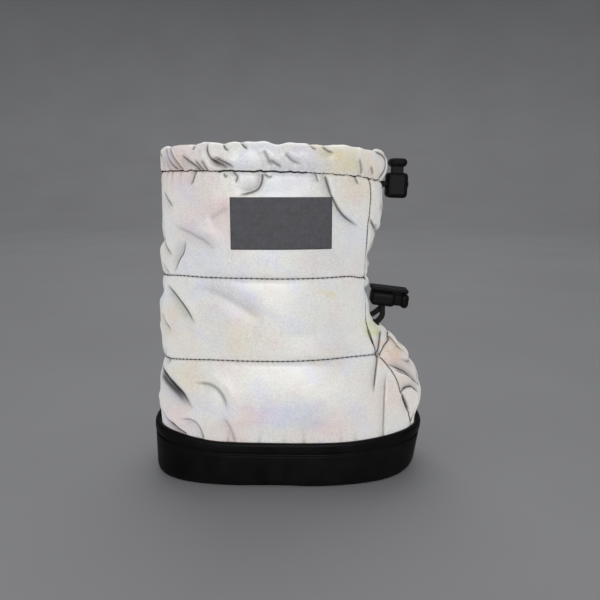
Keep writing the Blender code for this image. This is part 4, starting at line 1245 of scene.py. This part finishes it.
def silver_finish():
    """Coated silver fabric: near white, with painted iridescent tints, a fine grain and painted shade in its
    folds.
    """
    made, tree, shader, place = new_finish("silver_fabric_woven", Metallic=0.08, Diffuse_Roughness=1.0)
    pearl = ramp(tree, noise_of(tree, place, scale=60.0), *PEARL)
    # The tint attribute paints iridescent reflection in patches
    tint = node(tree, "Attribute", attribute_name="tint").outputs["Color"]
    colour = mix(tree, "MULTIPLY", 1.0, pearl, tint)
    grain = noise_of(tree, place, scale=1300.0, detail=2.0, roughness=0.7)
    colour = mix(tree, "MULTIPLY", 1.0, colour, ramp(tree, grain, (0.35, 0.86), (0.62, 1.0)))
    # Painted shade: fold_shade darkens the colour in creases, rows, seams and gathers
    fold = node(tree, "Attribute", attribute_name="fold_shade").outputs["Fac"]
    colour = mix(tree, "MIX", fold, colour, PAINTED_FOLD_SHADE)
    tree.links.new(colour, shader.inputs["Base Color"])
    tree.links.new(ramp(tree, grain, (0.3, 0.42), (0.7, 0.58)), shader.inputs["Roughness"])
    crinkle = noise_of(tree, place, scale=260.0, detail=4.0, roughness=0.6)
    crinkled = bump(tree, shader, crinkle, strength=0.25, distance=0.6 * MM)
    bump(tree, shader, grain, strength=0.35, distance=0.25 * MM, before=crinkled)
    return made


def fibre_finish(name, low, high, scale, roughness, strength, depth):
    """Fibres of one colour, darker between them: thread, braid or fleece."""
    made, tree, shader, place = new_finish(name, Roughness=roughness, Specular_IOR_Level=0.25)
    fibre = noise_of(tree, place, scale, roughness=0.6)
    tree.links.new(ramp(tree, fibre, (0.3, low), (0.7, high)), shader.inputs["Base Color"])
    bump(tree, shader, fibre, strength, depth)
    return made


def moulded_finish(name, low, high, roughness, grain):
    """Black moulded rubber or plastic with a fine texture and faint scuffs."""
    made, tree, shader, place = new_finish(name, Specular_IOR_Level=0.08)
    cloud = noise_of(tree, place, scale=55.0, detail=5.0, roughness=0.65)
    tree.links.new(ramp(tree, cloud, (0.35, low), (0.7, high)), shader.inputs["Base Color"])
    scuffed = roughness + 0.18
    tree.links.new(ramp(tree, cloud, (0.3, roughness), (0.75, scuffed)), shader.inputs["Roughness"])
    bump(tree, shader, noise_of(tree, place, grain, roughness=0.6), strength=0.25, distance=0.2 * MM)
    return made


def woven_finish():
    """Grey woven tape: fine ribs one way, finer threads the other."""
    made, tree, shader, place = new_finish("grey_tape_woven", Roughness=0.8, Specular_IOR_Level=0.3)
    bands = []
    for scale, way in ((420.0, "Z"), (520.0, "X")):
        inputs = {"Vector": place, "Scale": scale, "Distortion": 0.6}
        bands.append(node(tree, "TexWave", inputs, bands_direction=way).outputs["Fac"])
    weave = node(tree, "Math", {0: bands[0], 1: bands[1]}, operation="MULTIPLY").outputs[0]
    colour = ramp(tree, weave, (0.0, (0.082, 0.082, 0.090)), (1.0, (0.118, 0.118, 0.129)))
    fuzz = ramp(tree, noise_of(tree, place, scale=500.0, detail=4.0), (0.3, 0.82), (0.7, 1.05))
    tree.links.new(mix(tree, "MULTIPLY", 1.0, colour, fuzz), shader.inputs["Base Color"])
    bump(tree, shader, weave, strength=0.4, distance=0.2 * MM)
    return made


# Floor, light and camera


def make_floor():
    """A pale studio floor that sweeps up into a wall all round."""
    profile = [(radius, 0.0) for radius in FLOOR_RINGS]
    for angle in np.linspace(0.0, math.pi / 2.0, FLOOR_SWEEP_STEPS + 1)[1:]:
        profile.append((FLOOR_FLAT + FLOOR_SWEEP * math.sin(angle), FLOOR_SWEEP * (1.0 - math.cos(angle))))
    profile.append((FLOOR_FLAT + FLOOR_SWEEP, FLOOR_SWEEP + FLOOR_WALL))
    turn = 2.0 * np.pi * np.arange(FLOOR_AROUND) / FLOOR_AROUND
    points = [[(r * math.cos(t), r * math.sin(t), z) for t in turn] for r, z in profile]
    made, tree, shader, place = new_finish("floor_paint", Roughness=0.9)
    mottle = noise_of(tree, place, scale=6.0)
    paint = ramp(tree, mottle, (0.3, (0.29, 0.29, 0.30)), (0.7, (0.31, 0.31, 0.32)))
    height = node(tree, "SeparateXYZ", {0: place}).outputs["Z"]
    paler = ramp(tree, height, (0.0, 1.0), (0.3, 1.15))
    tree.links.new(mix(tree, "MULTIPLY", 1.0, paint, paler), shader.inputs["Base Color"])
    faces = grid_faces(len(profile), FLOOR_AROUND, False, True) + [list(range(FLOOR_AROUND))[::-1]]
    add_mesh("studio_floor", points, faces, made)


def add_light(name, at, size, power, spread):
    """A round soft light that faces the middle of the boot."""
    data = bpy.data.lights.new(name, "AREA")
    data.shape = "DISK"
    data.size = size
    data.energy = power
    data.spread = spread
    light = bpy.data.objects.new(name, data)
    light.location = at
    light.rotation_mode = "QUATERNION"
    light.rotation_quaternion = (LIGHTS_FACE - Vector(at)).to_track_quat("-Z", "Y")
    bpy.context.scene.collection.objects.link(light)


def make_lights():
    for light in LIGHTS:
        add_light(*light)
    world = bpy.data.worlds.new("studio")
    world.use_nodes = True
    sky = world.node_tree.nodes["Background"]
    sky.inputs["Color"].default_value = SKY_COLOUR
    sky.inputs["Strength"].default_value = SKY_STRENGTH
    bpy.context.scene.world = world
    bpy.context.scene.view_settings.view_transform = "Standard"


def make_camera():
    data = bpy.data.cameras.new("camera")
    data.lens = CAMERA_LENS
    data.sensor_width = CAMERA_SENSOR
    data.clip_start = CAMERA_NEAREST
    camera = bpy.data.objects.new("camera", data)
    camera.location = CAMERA_AT
    camera.rotation_euler = (math.pi / 2.0 - CAMERA_PITCH, 0.0, 0.0)
    bpy.context.scene.collection.objects.link(camera)
    bpy.context.scene.camera = camera


def main():
    make_camera()
    make_lights()
    make_floor()
    silver = silver_finish()
    thread, fleece, braid = (fibre_finish(*row) for row in FIBRES)
    rubber, lug_rubber, plastic = (moulded_finish(*row) for row in MOULDED)
    cloth, skin, turns, walked = make_shell(silver)
    make_casing(cloth, walked, silver)
    make_threads(cloth, skin, thread)
    make_patch(cloth.tree, woven_finish())
    make_lining(turns[::LINING_COARSE], fleece)
    make_footbed(turns[::LINING_COARSE], fleece)
    make_sole(rubber)
    make_tread(lug_rubber)
    make_cords(braid, thread)
    for name in PLASTIC_NODES:
        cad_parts[name].material_slots[0].material = plastic


main()
